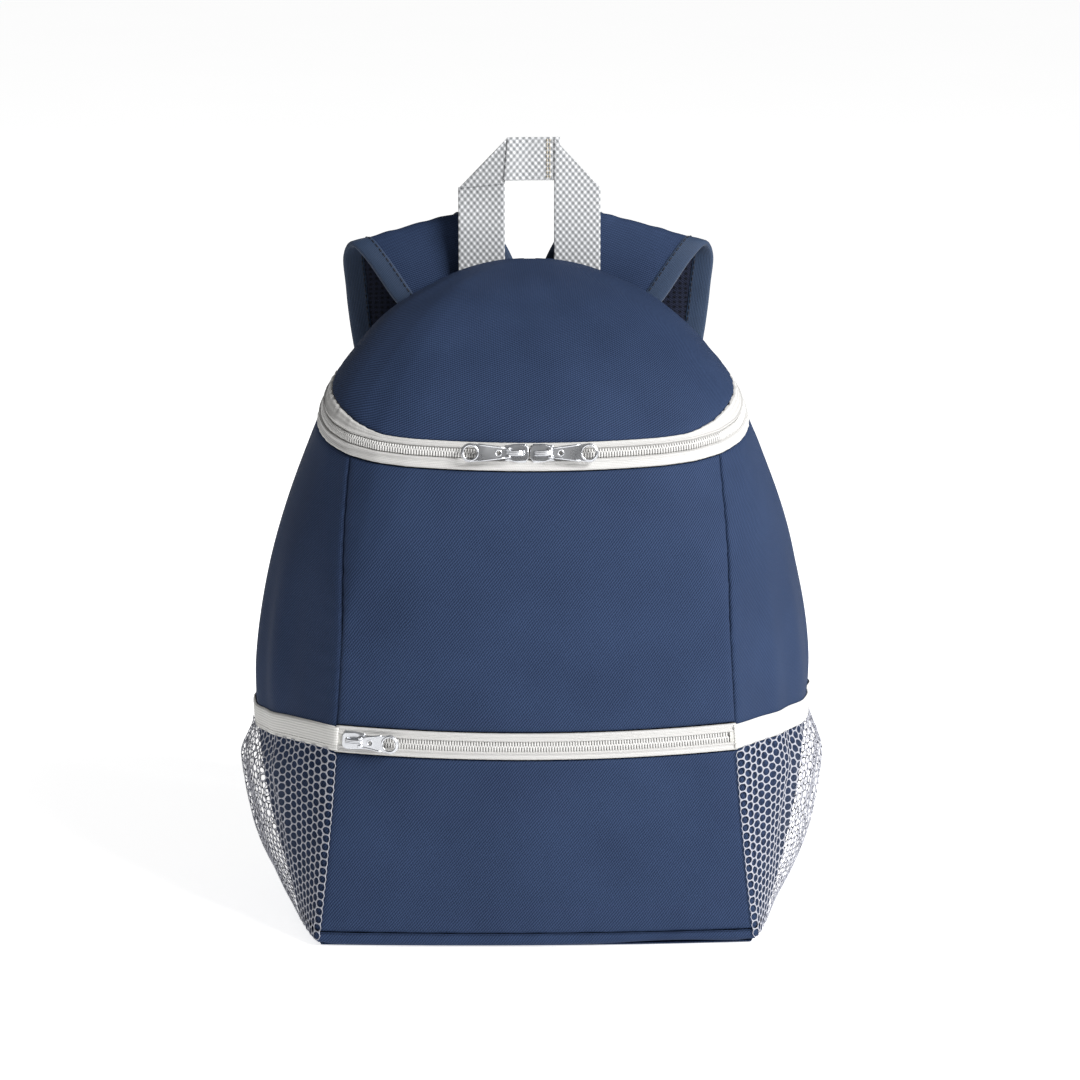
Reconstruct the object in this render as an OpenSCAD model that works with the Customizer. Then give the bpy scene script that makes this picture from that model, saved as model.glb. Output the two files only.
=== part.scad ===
// School backpack with a domed zip lid, a front zip pocket, two mesh side pockets,
// a webbing handle and two padded shoulder straps.
// Millimetres. +Z is up and the front faces -Y.
// The origin is on the floor, under the middle of the base.

/* [Body] */
// Greatest width of the body, at the belly
belly_w = 282; // [272:1:292]
// Height of the belly above the floor
belly_z = 120; // [110:1:130]
// Width of the base at mid depth
base_w = 242; // [234:1:250]
// Width of the body at the zip, at mid depth
lid_w = 216; // [210:1:222]
// How far the front panel reaches forward at its fullest
front_reach = 86.5; // [84:0.5:90]
// Distance from the middle of the base to the back panel's inner face
back_y = 78; // [76:1:80]
// Height of the highest point of the dome
apex_z = 323; // [318:1:330]

/* [Zips] */
// Height of the main zip at the middle of the front
zip_z = 246.5; // [240:0.5:252]
// Rise of the main zip for each millimetre towards the back
zip_rise = 0.25; // [0.20:0.01:0.28]
// Length of a puller on the main zip
main_pull_l = 27; // [22:1:30]
// Length of the puller on the front pocket's zip
pocket_pull_l = 23; // [18:1:26]

/* [Webbing] */
// Width of the handle's webbing
handle_web = 24.2; // [20:0.1:25]
// Height of the top of the handle above the floor
handle_top = 386; // [376:1:392]
// Width of the webbing below the shoulder straps
strap_web = 25; // [20:1:26]

/* [Hidden] */
$fn = 48;

navy = "#2f3f66";
white = "#e8e8e6";
grey = "#c9cacb";
metal = "#c4c6c8";
black = "#24262a";
foam = "#d8d8d2";
liner = "#b9bdc2";

// Height at which lid_w is measured, and the shape of the side's outline above the belly
lid_w_z = 264;
side_power = 1.6;
// Depth position of the widest point of every section
belly_y = 5;
// Height where the front reaches furthest, and how fast it falls back from there
front_z = 80;
front_curve = 0.0007;
// Half-width between the front seams at the zip and at the base
seam_top = 94;
seam_base = 110;
// How far the middle of the front stands ahead of its seams: base, above, and from what height
sag_base = 4;
sag_top = 13;
sag_z = 110;
// Width of the back panel over the width of the body, at the base and at the zip
back_ratio_base = 0.92;
back_ratio_top = 0.78;
// Lean of the dome where it leaves the zip, in degrees
lean = 25;
// From v = round_v upwards the front corners are rounded off over this much of u on each side,
// by a weighted mean of neighbouring points: each row is a share of that reach and its weight
round_v = 0.6;
corner_round = 0.34;
rounding = [[-1, 0.12], [-0.5, 0.23], [0, 0.3], [0.5, 0.23], [1, 0.12]];

// Fabric layers: skin, and where foam and lining lie behind it
skin_t = 1.6;
foam_in = 2.2;
foam_t = 3;
lining_in = 5.6;
lining_t = 0.8;
pocket_depth = 9.5;
// Rim round the base, and a seam's gap between neighbouring panels, as shares of the zip height
rim_v = 0.030;
seam_gap = 0.0015;
// Pocket zip and side bands, as shares of the zip height
band_lo = 0.396;
band_hi = 0.449;
coil_half = 0.012;
tape_half = 0.034;
// How much wider the main zip's upper tape is round the sides, as a share of itself
side_tape = 1.2;
// Width of the zip up the back edge of the lid, as a share of a side, and the v where it ends
back_zip = 0.07;
back_zip_end = 1.4;
// Above that zip the lid's edge lies this share of a side from the back panel
sewn_share = 0.012;
// Gap between the two halves of a coil, as a share of the zip height, and how deep a coil lies
coil_gap = 0.002;
coil_depth = 0.8;
// The front panels stop short of the side seams, at this u
front_edge = 0.992;
// A side pocket's band falls towards the back, by this share of the zip height
band_droop = 0.043;
// The main zip's sliders meet at x = main_meet_x, each with its middle main_slider_x from there
main_meet_x = -3.2;
main_slider_x = 6.6;
// Rest place of the front pocket's slider: its x on the front
pocket_slider_x = -89.5;

// --- The surface that every panel follows -------------------------------------------------

function lerp(a, b, t) = a + (b - a) * t;
function ease(t) = let (c = max(0, min(1, t))) c * c * (3 - 2 * c);
function unit(v) = v / norm(v);
function half_w(z) =
    z < belly_z
    ? belly_w / 2 - (belly_w - base_w) / 2 * pow((belly_z - z) / belly_z, 2)
    : belly_w / 2 - (belly_w - lid_w) / 2 * pow((z - belly_z) / (lid_w_z - belly_z), side_power);
function seam_x(z) = seam_top + (seam_base - seam_top) * pow(1 - min(z, zip_z) / zip_z, 2);
function front_y(z) = -front_reach + front_curve * pow(z - front_z, 2);
function sag(z) = lerp(sag_base, sag_top, sin(90 * min(1, z / sag_z)));
function front_r(z) = (pow(seam_x(z), 2) + pow(sag(z), 2)) / (2 * sag(z));
function back_ratio(z) = lerp(back_ratio_base, back_ratio_top, z / lid_w_z);

// The front of a section is an arc, and each side is a quadratic curve to the back corner
function front_pt(x, z) = [x, front_y(z) + front_r(z) - sqrt(pow(front_r(z), 2) - x * x)];
function side_pt(t, z) =
    let (
        a = front_pt(seam_x(z), z),
        m = [half_w(z), belly_y],
        b = [half_w(z) * back_ratio(z), back_y],
        c = 2 * m - (a + b) / 2
    )
    pow(1 - t, 2) * a + 2 * t * (1 - t) * c + t * t * b;

// u runs from -2 at the back left corner, through 0 at the front, to 2 at the back right corner
function section(u, z) =
    let (p = abs(u) <= 1 ? front_pt(abs(u) * seam_x(z), z) : side_pt(abs(u) - 1, z))
    [sign(u) * p[0], p[1]];
function ring_z(u) = zip_z + zip_rise * (section(u, zip_z + 12)[1] - front_y(zip_z));
function body_pt(u, v) = let (z = v * ring_z(u), p = section(u, z)) [p[0], p[1], z];
function dome_pt(u, v) =
    let (
        w = lean + (v - 1) * (90 - lean),
        z0 = ring_z(u),
        r = section(u, z0),
        k = cos(w) / cos(lean)
    )
    [r[0] * k, back_y + (r[1] - back_y) * k,
     z0 + (apex_z - z0) * (sin(w) - sin(lean)) / (1 - sin(lean))];

// v runs from 0 at the floor to 1 at the main zip, and on to 2 at the top of the dome
function sharp_pt(u, v) = v <= 1 ? body_pt(u, v) : dome_pt(u, v);
function bag_pt(u, v) =
    let (reach = min(corner_round * ease((v - round_v) / (1 - round_v)), max(0, 2 - abs(u))))
    [for (r = rounding) r[1]] * [for (r = rounding) sharp_pt(u + reach * r[0], v)];

// --- Thin panels --------------------------------------------------------------------------

function value(t, a, b) = is_function(t) ? t(a, b) : t;
function normal_of(f, a, b) =
    let (
        e = 0.001,
        a0 = max(0, a - e), a1 = min(1, a + e),
        b0 = max(0, b - e), b1 = min(1, b + e)
    )
    unit(cross(f(a1, b) - f(a0, b), f(a, b1) - f(a, b0)));

// A closed panel between two offsets from the surface f(a, b), with m by n cells.
// Offsets are positive towards the outside, and each is a number or a function of a and b.
module panel(f, m, n, inner, outer) {
    count = (m + 1) * (n + 1);
    grid = [for (j = [0:n]) for (i = [0:m]) [i / m, j / n]];
    base = [for (g = grid) f(g[0], g[1])];
    out = [for (g = grid) normal_of(f, g[0], g[1])];
    points = concat(
        [for (k = [0:count - 1]) base[k] + out[k] * value(outer, grid[k][0], grid[k][1])],
        [for (k = [0:count - 1]) base[k] + out[k] * value(inner, grid[k][0], grid[k][1])]
    );
    function at(i, j, side) = side * count + j * (m + 1) + i;
    cells = [for (j = [0:n - 1]) for (i = [0:m - 1]) [i, j]];
    rim = concat(
        [for (i = [0:m - 1]) [[i, 0], [i + 1, 0]]],
        [for (j = [0:n - 1]) [[m, j], [m, j + 1]]],
        [for (i = [m:-1:1]) [[i, n], [i - 1, n]]],
        [for (j = [n:-1:1]) [[0, j], [0, j - 1]]]
    );
    faces = concat(
        [for (c = cells) [at(c[0], c[1], 0), at(c[0] + 1, c[1] + 1, 0), at(c[0] + 1, c[1], 0)]],
        [for (c = cells) [at(c[0], c[1], 0), at(c[0], c[1] + 1, 0), at(c[0] + 1, c[1] + 1, 0)]],
        [for (c = cells) [at(c[0], c[1], 1), at(c[0] + 1, c[1], 1), at(c[0] + 1, c[1] + 1, 1)]],
        [for (c = cells) [at(c[0], c[1], 1), at(c[0] + 1, c[1] + 1, 1), at(c[0], c[1] + 1, 1)]],
        [for (r = rim) [at(r[0][0], r[0][1], 0), at(r[1][0], r[1][1], 0), at(r[1][0], r[1][1], 1)]],
        [for (r = rim) [at(r[0][0], r[0][1], 0), at(r[1][0], r[1][1], 1), at(r[0][0], r[0][1], 1)]]
    );
    polyhedron(points, faces);
}

// A panel of the bag between two values of u and two of v
module bag_panel(u0, u1, v0, v1, m, n, inner, outer)
    panel(function(a, b) bag_pt(lerp(u0, u1, a), lerp(v0, v1, b)), m, n, inner, outer);

// Top of the main zip's upper tape: the tape is wider round the sides than across the front
function tape_top(u) = 1 + tape_half * (1 + side_tape * ease((abs(u) - 0.75) / 0.5));

// The lid's edge keeps one distance from the back panel while the zip runs there, then meets it
function spread(v) = cos(lean) / max(0.02, cos(lean + (v - 1) * (90 - lean)));
function edge_u(v, share) =
    let (sewn = max(0, min(1, (v - back_zip_end) / 0.12)))
    2 - min(0.6, lerp(share, sewn_share, sewn) * spread(v));

// Fits x, y, z axes to the surface: along u, up the surface, and outwards
module on_bag(u, v) {
    f = function(a, b) bag_pt(a, b);
    e = 0.001;
    p = f(u, v);
    along = unit(f(u + e, v) - f(u - e, v));
    out = unit(cross(along, f(u, v) - f(u, v - e)));
    up = cross(out, along);
    multmatrix([
        [along[0], up[0], out[0], p[0]],
        [along[1], up[1], out[1], p[1]],
        [along[2], up[2], out[2], p[2]],
        [0, 0, 0, 1]
    ]) children();
}

module flip(side) {
    if (side < 0) mirror([1, 0, 0]) children();
    else children();
}

// --- Body panels --------------------------------------------------------------------------

module front_panel() color(navy)
    bag_panel(-front_edge, front_edge, band_hi + seam_gap, 1 - tape_half - seam_gap, 18, 8,
              -skin_t, 0);

module front_pocket_panel() color(navy)
    bag_panel(-front_edge, front_edge, rim_v + seam_gap, band_lo - seam_gap, 14, 6, -skin_t, 0);

module pocket_inner_wall() color(liner)
    bag_panel(-0.9, 0.9, 0.02, 1 - tape_half - seam_gap, 14, 10, -pocket_depth - 1.5, -pocket_depth);

module gusset(side) color(navy)
    bag_panel(side > 0 ? 1.004 : -1.998, side > 0 ? 1.998 : -1.004,
              rim_v + seam_gap, 1 - tape_half - seam_gap, 18, 12, -skin_t, 0);

module side_foam(side) color(foam)
    bag_panel(side > 0 ? 1.09 : -1.95, side > 0 ? 1.95 : -1.09,
              rim_v, 1 - tape_half - seam_gap, 16, 10, -foam_in - foam_t, -foam_in);

// The thin inner liner: it stands back behind the pocket's wall on the front
function lining_off(u) =
    lining_in + (pocket_depth + 2.4 - lining_in) * max(0, min(1, (1.2 - abs(u)) / 0.2));
module lining() color(liner) {
    u_of = function(a) lerp(-1.9, 1.9, a);
    panel(function(a, b) bag_pt(u_of(a), lerp(0.026, 0.962, b)), 38, 10,
          function(a, b) -lining_off(u_of(a)) - lining_t, function(a, b) -lining_off(u_of(a)));
}

// The arch of the back panel follows the bag's back edge
back_step = 0.1;
function back_outline() = [
    for (v = [0:back_step:1.9 + back_step / 2]) [bag_pt(2, v)[0], bag_pt(2, v)[2]]
];
module back_plate(y, t, inset, low) {
    right = back_outline();
    left = [for (i = [len(right) - 1:-1:0]) [-right[i][0], right[i][1]]];
    scale_x = 1 - inset / half_w(belly_z);
    top = [[0, apex_z - 0.4]];
    points = concat(right, top, left);
    translate([0, y + t, 0]) rotate([90, 0, 0]) linear_extrude(t)
        polygon([for (p = points) [p[0] * scale_x, low + p[1] * (1 - (inset + low) / apex_z)]]);
}
module back_panel() color(navy) back_plate(back_y + 0.1, 2.2, 0, 0);
module back_foam() color(foam) back_plate(back_y - 5.2, 5, 9, 6);

function base_outline(shrink) = [
    for (u = [-2:0.2:2.01]) section(u, 0) * (1 - shrink / half_w(0))
];
module base_panel() color(navy) linear_extrude(1.6) polygon(base_outline(3.2));
module base_board() color(black) translate([0, 0, 1.9]) linear_extrude(2.4) polygon(base_outline(14));
module base_rim() color(navy) bag_panel(-1.998, 1.998, 0.001, rim_v - seam_gap, 40, 1, -1.2, 0);

// --- Zips ---------------------------------------------------------------------------------

// A strip up the back edge of the lid, between two distances from the back panel
module back_strip(side, near, far, inner, outer)
    panel(
        function(a, b)
            let (v = lerp(1.02, back_zip_end, b))
            bag_pt(side * edge_u(v, lerp(side > 0 ? far : near, side > 0 ? near : far, a)), v),
        1, 8, inner, outer
    );
module back_strips(near, far, inner, outer) {
    back_strip(1, near, far, inner, outer);
    back_strip(-1, near, far, inner, outer);
}
ring_end = 2 - back_zip;

module main_tape_lower() color(white) {
    bag_panel(-1.998, 1.998, 1 - tape_half, 1 - coil_half - 0.0006, 48, 1, -1.2, 0);
    back_strips(0.004, 0.026, -1.2, 0);
}
module main_tape_upper() color(white) {
    u_of = function(a) lerp(-ring_end, ring_end, a);
    panel(function(a, b) bag_pt(u_of(a), lerp(1 + coil_half + 0.0016, tape_top(u_of(a)), b)),
          46, 1, -1.2, 0);
    back_strips(0.052, 0.074, -1.2, 0);
}
module main_coil_lower() color(white) {
    bag_panel(-1.9, 1.9, 1 - coil_half, 1 - coil_gap, 46, 1, -coil_depth, 0.3);
    back_strips(0.028, 0.038, -coil_depth, 0.3);
}
module main_coil_upper() color(white) {
    bag_panel(-1.9, 1.9, 1 + coil_gap, 1 + coil_half, 46, 1, -coil_depth, 0.3);
    back_strips(0.040, 0.050, -coil_depth, 0.3);
}

pocket_mid = (band_lo + band_hi) / 2;
module pocket_tape_upper() color(white)
    bag_panel(-1, 1, pocket_mid + coil_half + 0.0006, band_hi, 24, 1, -1.2, 0);
module pocket_tape_lower() color(white)
    bag_panel(-1, 1, band_lo, pocket_mid - coil_half - 0.0006, 24, 1, -1.2, 0);
module pocket_coil() color(white)
    bag_panel(-0.965, 0.965, pocket_mid - coil_half, pocket_mid + coil_half, 24, 1, -coil_depth, 0.3);
module pocket_zip_stops() color(metal)
    for (s = [-1, 1]) on_bag(s * 0.98, pocket_mid) translate([-0.9, -3, -1]) cube([1.8, 6, 1.8]);

// A slider rides in front of the coil. Its own x axis points the way its puller lies.
slider_lift = 0.8;
plate_t = 1.3;
pin_x = 3.6;
pin_z = slider_lift + plate_t + 1.7;
pin_r = 0.8;
module slider() color(metal) {
    translate([0, 0, slider_lift]) linear_extrude(plate_t)
        polygon([[-6.2, -2.6], [-4.4, -4.3], [4.6, -4.3], [6.2, -3.2],
                 [6.2, 3.2], [4.6, 4.3], [-4.4, 4.3], [-6.2, 2.6]]);
    for (s = [-1, 1]) translate([pin_x - 1.6, s * 3.2 - 0.6, slider_lift + plate_t - 0.1])
        cube([3.2, 1.2, 2.9]);
    translate([pin_x, -3, pin_z]) rotate([-90, 0, 0]) cylinder(r = pin_r, h = 6);
    translate([-4.6, -1.6, slider_lift + plate_t - 0.1]) cube([5.4, 3.2, 1.2]);
}

// A puller hangs on the slider's pin by a knuckle, and ends in a round eye
pull_t = 1.1;
module puller(length) color(metal) {
    difference() {
        union() {
            translate([0, -2.1, pin_z]) rotate([-90, 0, 0]) translate([pin_x, 0, 0])
                cylinder(r = 1.55, h = 4.2);
            translate([0, 0, pin_z - pull_t / 2]) linear_extrude(pull_t) {
                polygon([[pin_x, -2.1], [pin_x + 2, -2.1], [pin_x + 4.2, -3.4], [length - 4.7, -4.7],
                         [length - 4.7, 4.7], [pin_x + 4.2, 3.4], [pin_x + 2, 2.1], [pin_x, 2.1]]);
                translate([length - 4.7, 0]) circle(r = 4.7);
            }
        }
        translate([pin_x, -3, pin_z]) rotate([-90, 0, 0]) cylinder(r = pin_r + 0.08, h = 6);
        translate([length - 4.9, 0, pin_z - 2]) cylinder(r = 3, h = 4);
        translate([pin_x + 4.6, 0, pin_z - 2]) cylinder(r = 0.9, h = 4);
    }
}

function main_u(side) = (main_meet_x + side * main_slider_x) / seam_x(zip_z);
pocket_u = pocket_slider_x / seam_x(pocket_mid * zip_z);
module main_slider(side) on_bag(main_u(side), 0.9999) flip(side) slider();
module main_puller(side) on_bag(main_u(side), 0.9999) flip(side) puller(main_pull_l);
module pocket_slider() on_bag(pocket_u, pocket_mid) slider();
module pocket_puller() on_bag(pocket_u, pocket_mid) puller(pocket_pull_l);

// --- Mesh side pockets --------------------------------------------------------------------

// The net stands off the gusset like a loose bag, and its top band less so.
// Both keep one height above the floor, while the zip rises towards the back.
net_bulge = 10.5;
band_stand = 5.2;
function level(u, v) =
    let (droop = band_droop * min(1, v / band_lo) * ease((abs(u) - 1) / 0.5))
    (v - droop) * ring_z(1) / ring_z(u);
module side_pocket_part(side, low, high, n, inner, outer) {
    u_of = function(a) lerp(side > 0 ? 1.02 : -1.95, side > 0 ? 1.95 : -1.02, a);
    panel(function(a, b) bag_pt(u_of(a), level(u_of(a), lerp(low, high, b))), 16, n, inner, outer);
}
function net_off(a, b) = 0.5 + net_bulge * pow(sin(180 * a), 0.6) * pow(sin(min(90, 200 * b)), 0.8)
    * lerp(1, band_stand / net_bulge, max(0, (b - 0.8) / 0.2));
module mesh_pocket(side) color(white)
    side_pocket_part(side, rim_v + 0.004, band_lo - 0.002, 8,
                     function(a, b) net_off(a, b), function(a, b) net_off(a, b) + 0.8);
function band_off(a) = 0.5 + band_stand * pow(sin(180 * a), 0.6);
module pocket_band(side) color(white)
    side_pocket_part(side, band_lo, band_hi, 1,
                     function(a, b) band_off(a), function(a, b) band_off(a) + 1.2);

// --- Lid ----------------------------------------------------------------------------------

lid_top = 1.94;
function lid_f(share) = function(a, b)
    let (v = lerp(tape_top(2 * (2 * a - 1)) + 3 * seam_gap, lid_top, b), e = edge_u(v, share))
    bag_pt(lerp(-e, e, a), v);
module lid_dome() color(navy) panel(lid_f(0.08), 40, 12, -skin_t, 0);
module lid_foam() color(foam) panel(lid_f(0.11), 36, 10, -foam_in - foam_t, -foam_in);
module lid_lining() color(liner) panel(lid_f(0.11), 34, 10, -lining_in - lining_t, -lining_in);

// --- Handle -------------------------------------------------------------------------------

web_t = 1.7;
handle_y = back_y + 2.7;
handle_hinge_z = 324;
handle_in = 12.8;
handle_out = handle_in + handle_web;
module handle() color(grey)
    translate([0, handle_y + web_t, 0]) rotate([90, 0, 0]) linear_extrude(web_t)
        polygon([
            [-handle_out, handle_hinge_z], [-handle_out, handle_top - 26.5],
            [-15.5, handle_top], [15.5, handle_top],
            [handle_out, handle_top - 26.5], [handle_out, handle_hinge_z],
            [handle_in, handle_hinge_z], [handle_in, handle_top - 22.4],
            [-handle_in, handle_top - 22.4], [-handle_in, handle_hinge_z]
        ]);
module handle_anchor() color(grey)
    for (s = [-1, 1])
        translate([s > 0 ? handle_in : -handle_out, handle_y, handle_hinge_z - 22])
            cube([handle_web, web_t, 20.5]);

// --- Shoulder straps ----------------------------------------------------------------------

// Each row is the strap's inner and outer edge, from its anchor, over the crest, to its lower end
strap_rows = [
    [[3, 88, 285], [60, 88, 290]],
    [[5, 88.5, 309], [70, 88.5, 300]],
    [[13, 91, 329], [84, 92, 320]],
    [[26, 98, 345], [93, 98, 328]],
    [[30, 105, 340], [97, 105, 321]],
    [[30, 109, 318], [96, 110, 305]],
    [[32, 113, 284], [94, 114, 284]],
    [[38, 114, 225], [86, 115, 225]],
    [[46, 109, 160], [88, 110, 160]],
    [[58, 101, 108], [94, 101, 108]]
];
crest_row = 3;
crest_gap = 0.09;
function spline(p0, p1, p2, p3, t) =
    p1 + 0.5 * t * (p2 - p0 + t * (2 * p0 - 5 * p1 + 4 * p2 - p3 + t * (3 * (p1 - p2) + p3 - p0)));
function strap_edge(s, edge) =
    let (
        last = len(strap_rows) - 1,
        i = min(floor(s), last - 1),
        row = function(k) strap_rows[max(0, min(last, k))][edge]
    )
    spline(row(i - 1), row(i), row(i + 1), row(i + 2), s - i);
function strap_pt(a, s) = lerp(strap_edge(s, 0), strap_edge(s, 1), a);
module strap_part(side, s0, s1, n, thick)
    flip(side)
        panel(function(a, b) strap_pt(a, lerp(s0, s1, b)), 4, n,
              function(a, b) -thick(b) / 2, function(a, b) thick(b) / 2);
module strap_upper(side) color(navy)
    strap_part(side, 0, crest_row - crest_gap, 8, function(b) 3);
module strap_pad(side) color(navy)
    strap_part(side, crest_row + crest_gap, 9, 18,
               function(b) 3 + 5 * sin(min(90, 400 * b)) * sin(min(90, 900 * (1 - b))));

// The reinforcement that holds handle and straps to the back panel
module strap_anchor() color(navy)
    translate([-66, back_y + 2.4, 268]) cube([132, 5.8, 22]);

// Ladder lock: three bars between two rails. It tilts on its top bar, in the strap's loop.
lock_x = 78;
lock_y = 100;
lock_z = 97;
bar_r = 1.7;
bar_gap = 9;
rail_w = 3;
module ladder_lock(side) color(black) flip(side) translate([lock_x, lock_y, lock_z]) {
    w = strap_web + 1.6;
    for (k = [0:2]) translate([-w / 2 - 0.1, 0, -k * bar_gap]) rotate([0, 90, 0])
        cylinder(r = bar_r, h = w + 0.2);
    for (s = [-1, 1]) translate([s * (w + rail_w) / 2 - rail_w / 2, -2, -2 * bar_gap - 2.5])
        cube([rail_w, 4, 2 * bar_gap + 5]);
}
module strap_loop(side) color(black) flip(side)
    translate([lock_x - strap_web / 2, lock_y, lock_z]) rotate([90, 0, 90])
        linear_extrude(strap_web) difference() {
            union() {
                circle(r = bar_r + 1.9);
                translate([-bar_r - 1.9, 0]) square([2 * bar_r + 3.8, 10.6]);
            }
            circle(r = bar_r + 0.5);
            translate([-bar_r - 0.5, 0]) square([2 * bar_r + 1, 8.4]);
        }

// The lower webbing runs from the ladder lock to a tab in the base corner
web_top = [lock_x, lock_y - 0.8, lock_z - 2 * bar_gap - 3];
web_end = [96, back_y + 5.4, 24];
module lower_webbing(side) color(black)
    flip(side) panel(
        function(a, b) lerp(web_end, web_top, b) + [(a - 0.5) * strap_web, 4 * sin(180 * b), 0],
        1, 8, -0.7, 0.7
    );
module webbing_tab(side) color(navy) flip(side)
    translate([web_end[0] - 15, back_y + 2.5, 4]) cube([30, 4.2, 19]);

front_panel();
front_pocket_panel();
pocket_inner_wall();
gusset(-1);  // gusset_left
gusset(1);  // gusset_right
back_panel();
back_foam();
base_panel();
base_board();
base_rim();
side_foam(-1);  // side_foam_left
side_foam(1);  // side_foam_right
lining();
main_tape_lower();
main_coil_lower();
pocket_tape_upper();
pocket_tape_lower();
pocket_coil();
pocket_zip_stops();
mesh_pocket(-1);  // mesh_pocket_left
mesh_pocket(1);  // mesh_pocket_right
pocket_band(-1);  // pocket_band_left
pocket_band(1);  // pocket_band_right
handle_anchor();
strap_anchor();
strap_upper(-1);  // strap_upper_left
strap_upper(1);  // strap_upper_right
webbing_tab(-1);  // webbing_tab_left
webbing_tab(1);  // webbing_tab_right
lower_webbing(-1);  // lower_webbing_left
lower_webbing(1);  // lower_webbing_right
lid_dome();
lid_foam();
lid_lining();
main_tape_upper();
main_coil_upper();
handle();
main_slider(-1);  // main_slider_left
main_puller(-1);  // main_puller_left
main_slider(1);  // main_slider_right
main_puller(1);  // main_puller_right
pocket_slider();
pocket_puller();
strap_pad(-1);  // strap_pad_left
strap_pad(1);  // strap_pad_right
strap_loop(-1);  // strap_loop_left
strap_loop(1);  // strap_loop_right
ladder_lock(-1);  // ladder_lock_left
ladder_lock(1);  // ladder_lock_right
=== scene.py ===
"""The looks of a school backpack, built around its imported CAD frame.

Sizes are in millimetres unless a name ends in _M, and are turned into metres as each mesh is made.
The bag's cloth follows one surface, bag(u, v): u runs from -2 at the back left corner, through 0 at
the front, to 2 at the back right corner, and v from 0 at the floor, through 1 at the main zip, to 2
at the top of the dome. A shape is a list of points, a list of faces and, for cloth, its weave: how
far across and up the cloth each point lies.
"""

import math

import bpy
import numpy as np
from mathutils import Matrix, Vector


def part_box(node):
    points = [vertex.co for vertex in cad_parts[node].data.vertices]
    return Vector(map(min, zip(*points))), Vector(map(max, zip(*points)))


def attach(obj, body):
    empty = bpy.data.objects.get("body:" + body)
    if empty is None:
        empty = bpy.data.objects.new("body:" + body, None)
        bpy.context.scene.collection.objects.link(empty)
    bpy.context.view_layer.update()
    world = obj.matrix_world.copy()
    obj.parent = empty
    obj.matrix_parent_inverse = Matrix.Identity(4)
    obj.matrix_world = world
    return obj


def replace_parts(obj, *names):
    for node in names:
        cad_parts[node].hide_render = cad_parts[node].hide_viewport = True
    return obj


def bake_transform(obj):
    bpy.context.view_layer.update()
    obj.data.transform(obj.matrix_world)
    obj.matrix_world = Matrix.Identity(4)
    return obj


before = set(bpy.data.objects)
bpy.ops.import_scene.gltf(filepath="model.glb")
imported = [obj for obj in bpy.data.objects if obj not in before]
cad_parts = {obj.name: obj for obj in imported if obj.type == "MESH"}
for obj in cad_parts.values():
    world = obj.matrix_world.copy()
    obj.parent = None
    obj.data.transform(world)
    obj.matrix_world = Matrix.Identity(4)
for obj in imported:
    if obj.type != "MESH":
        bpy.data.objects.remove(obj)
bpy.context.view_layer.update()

MM = 0.001
SIDES = (("left", -1), ("right", 1))


def box_mm(node):
    """Both far corners of a CAD node's box."""
    return [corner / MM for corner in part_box(node)]


# --- Driving sizes: the CAD part's own, but for the bands' droop, which is smaller here ----------

BELLY_W, BASE_W, LID_W = 282.0, 242.0, 216.0
BELLY_Z, LID_W_Z = 120.0, 264.0
SIDE_POWER = 1.6
BELLY_Y = 5.0
FRONT_Y, FRONT_Z, FRONT_CURVE = -86.5, 80.0, 0.0007
SEAM_TOP, SEAM_BASE = 94.0, 110.0
SAG_BASE, SAG_TOP, SAG_Z = 4.0, 13.0, 110.0
BACK_RATIO_BASE, BACK_RATIO_TOP = 0.92, 0.78
BACK_Y = box_mm("back_panel")[0].y - 0.1
APEX_Z = box_mm("back_panel")[1].z + 0.4
ZIP_Z, ZIP_RISE = 246.5, 0.25
LEAN = math.radians(25)
CORNER_ROUND = 0.34
ROUNDING = ((-1.0, 0.12), (-0.5, 0.23), (0.0, 0.3), (0.5, 0.23), (1.0, 0.12))

RIM_V = 0.030
BAND_LO, BAND_HI = 0.396, 0.449
BAND_DROOP, RIGHT_DROOP = 0.026, 0.4
POCKET_V = (BAND_LO + BAND_HI) / 2
COIL_HALF, TAPE_HALF, SIDE_TAPE = 0.012, 0.034, 1.2
SEAM_GAP, TAPE_GAP = 0.0015, 0.001
WALL_TOP = 1 - TAPE_HALF - SEAM_GAP
BACK_ZIP, BACK_ZIP_END, SEWN_SHARE = 0.07, 1.4, 0.012
RING_END = 2 - BACK_ZIP
LID_TOP, DOME_TOP = 1.94, 1.985
FOAM_IN, FOAM_T, LINING_IN, POCKET_DEPTH = 2.2, 3.0, 5.6, 9.5

MAIN_MEET_X, MAIN_SLIDER_X, POCKET_SLIDER_X = -3.2, 6.6, -89.5
PIN_X, PIN_Z = 3.6, 3.8

# Inner and outer edge of the right strap, row by row, from its anchor over the crest to its end
STRAP_ROWS = np.array([
    [[3, 88, 285], [60, 88, 290]],
    [[5, 88.5, 309], [70, 88.5, 300]],
    [[13, 91, 329], [84, 92, 320]],
    [[26, 98, 345], [93, 98, 328]],
    [[30, 105, 340], [97, 105, 321]],
    [[30, 109, 318], [96, 110, 305]],
    [[32, 113, 284], [94, 114, 284]],
    [[38, 114, 225], [86, 115, 225]],
    [[46, 109, 160], [88, 110, 160]],
    [[58, 101, 108], [94, 101, 108]],
], float)
CREST_ROW, END_ROW = 3, 9

LOCK_X, LOCK_Y, LOCK_Z = 78.0, 100.0, 97.0
BAR_GAP, STRAP_WEB = 9.0, 25.0

# Rough widths of a side and of half the front, for waves that are measured in millimetres
SIDE_ARC, FRONT_ARC = 165.0, 100.0


# --- Small maths --------------------------------------------------------------------------------

def clamp(t):
    return np.clip(t, 0.0, 1.0)


def ease(t):
    t = clamp(t)
    return t * t * (3 - 2 * t)


def lerp(a, b, t):
    return a + (b - a) * t


def unit(vectors):
    return vectors / np.maximum(np.linalg.norm(vectors, axis=-1, keepdims=True), 1e-9)


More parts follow.
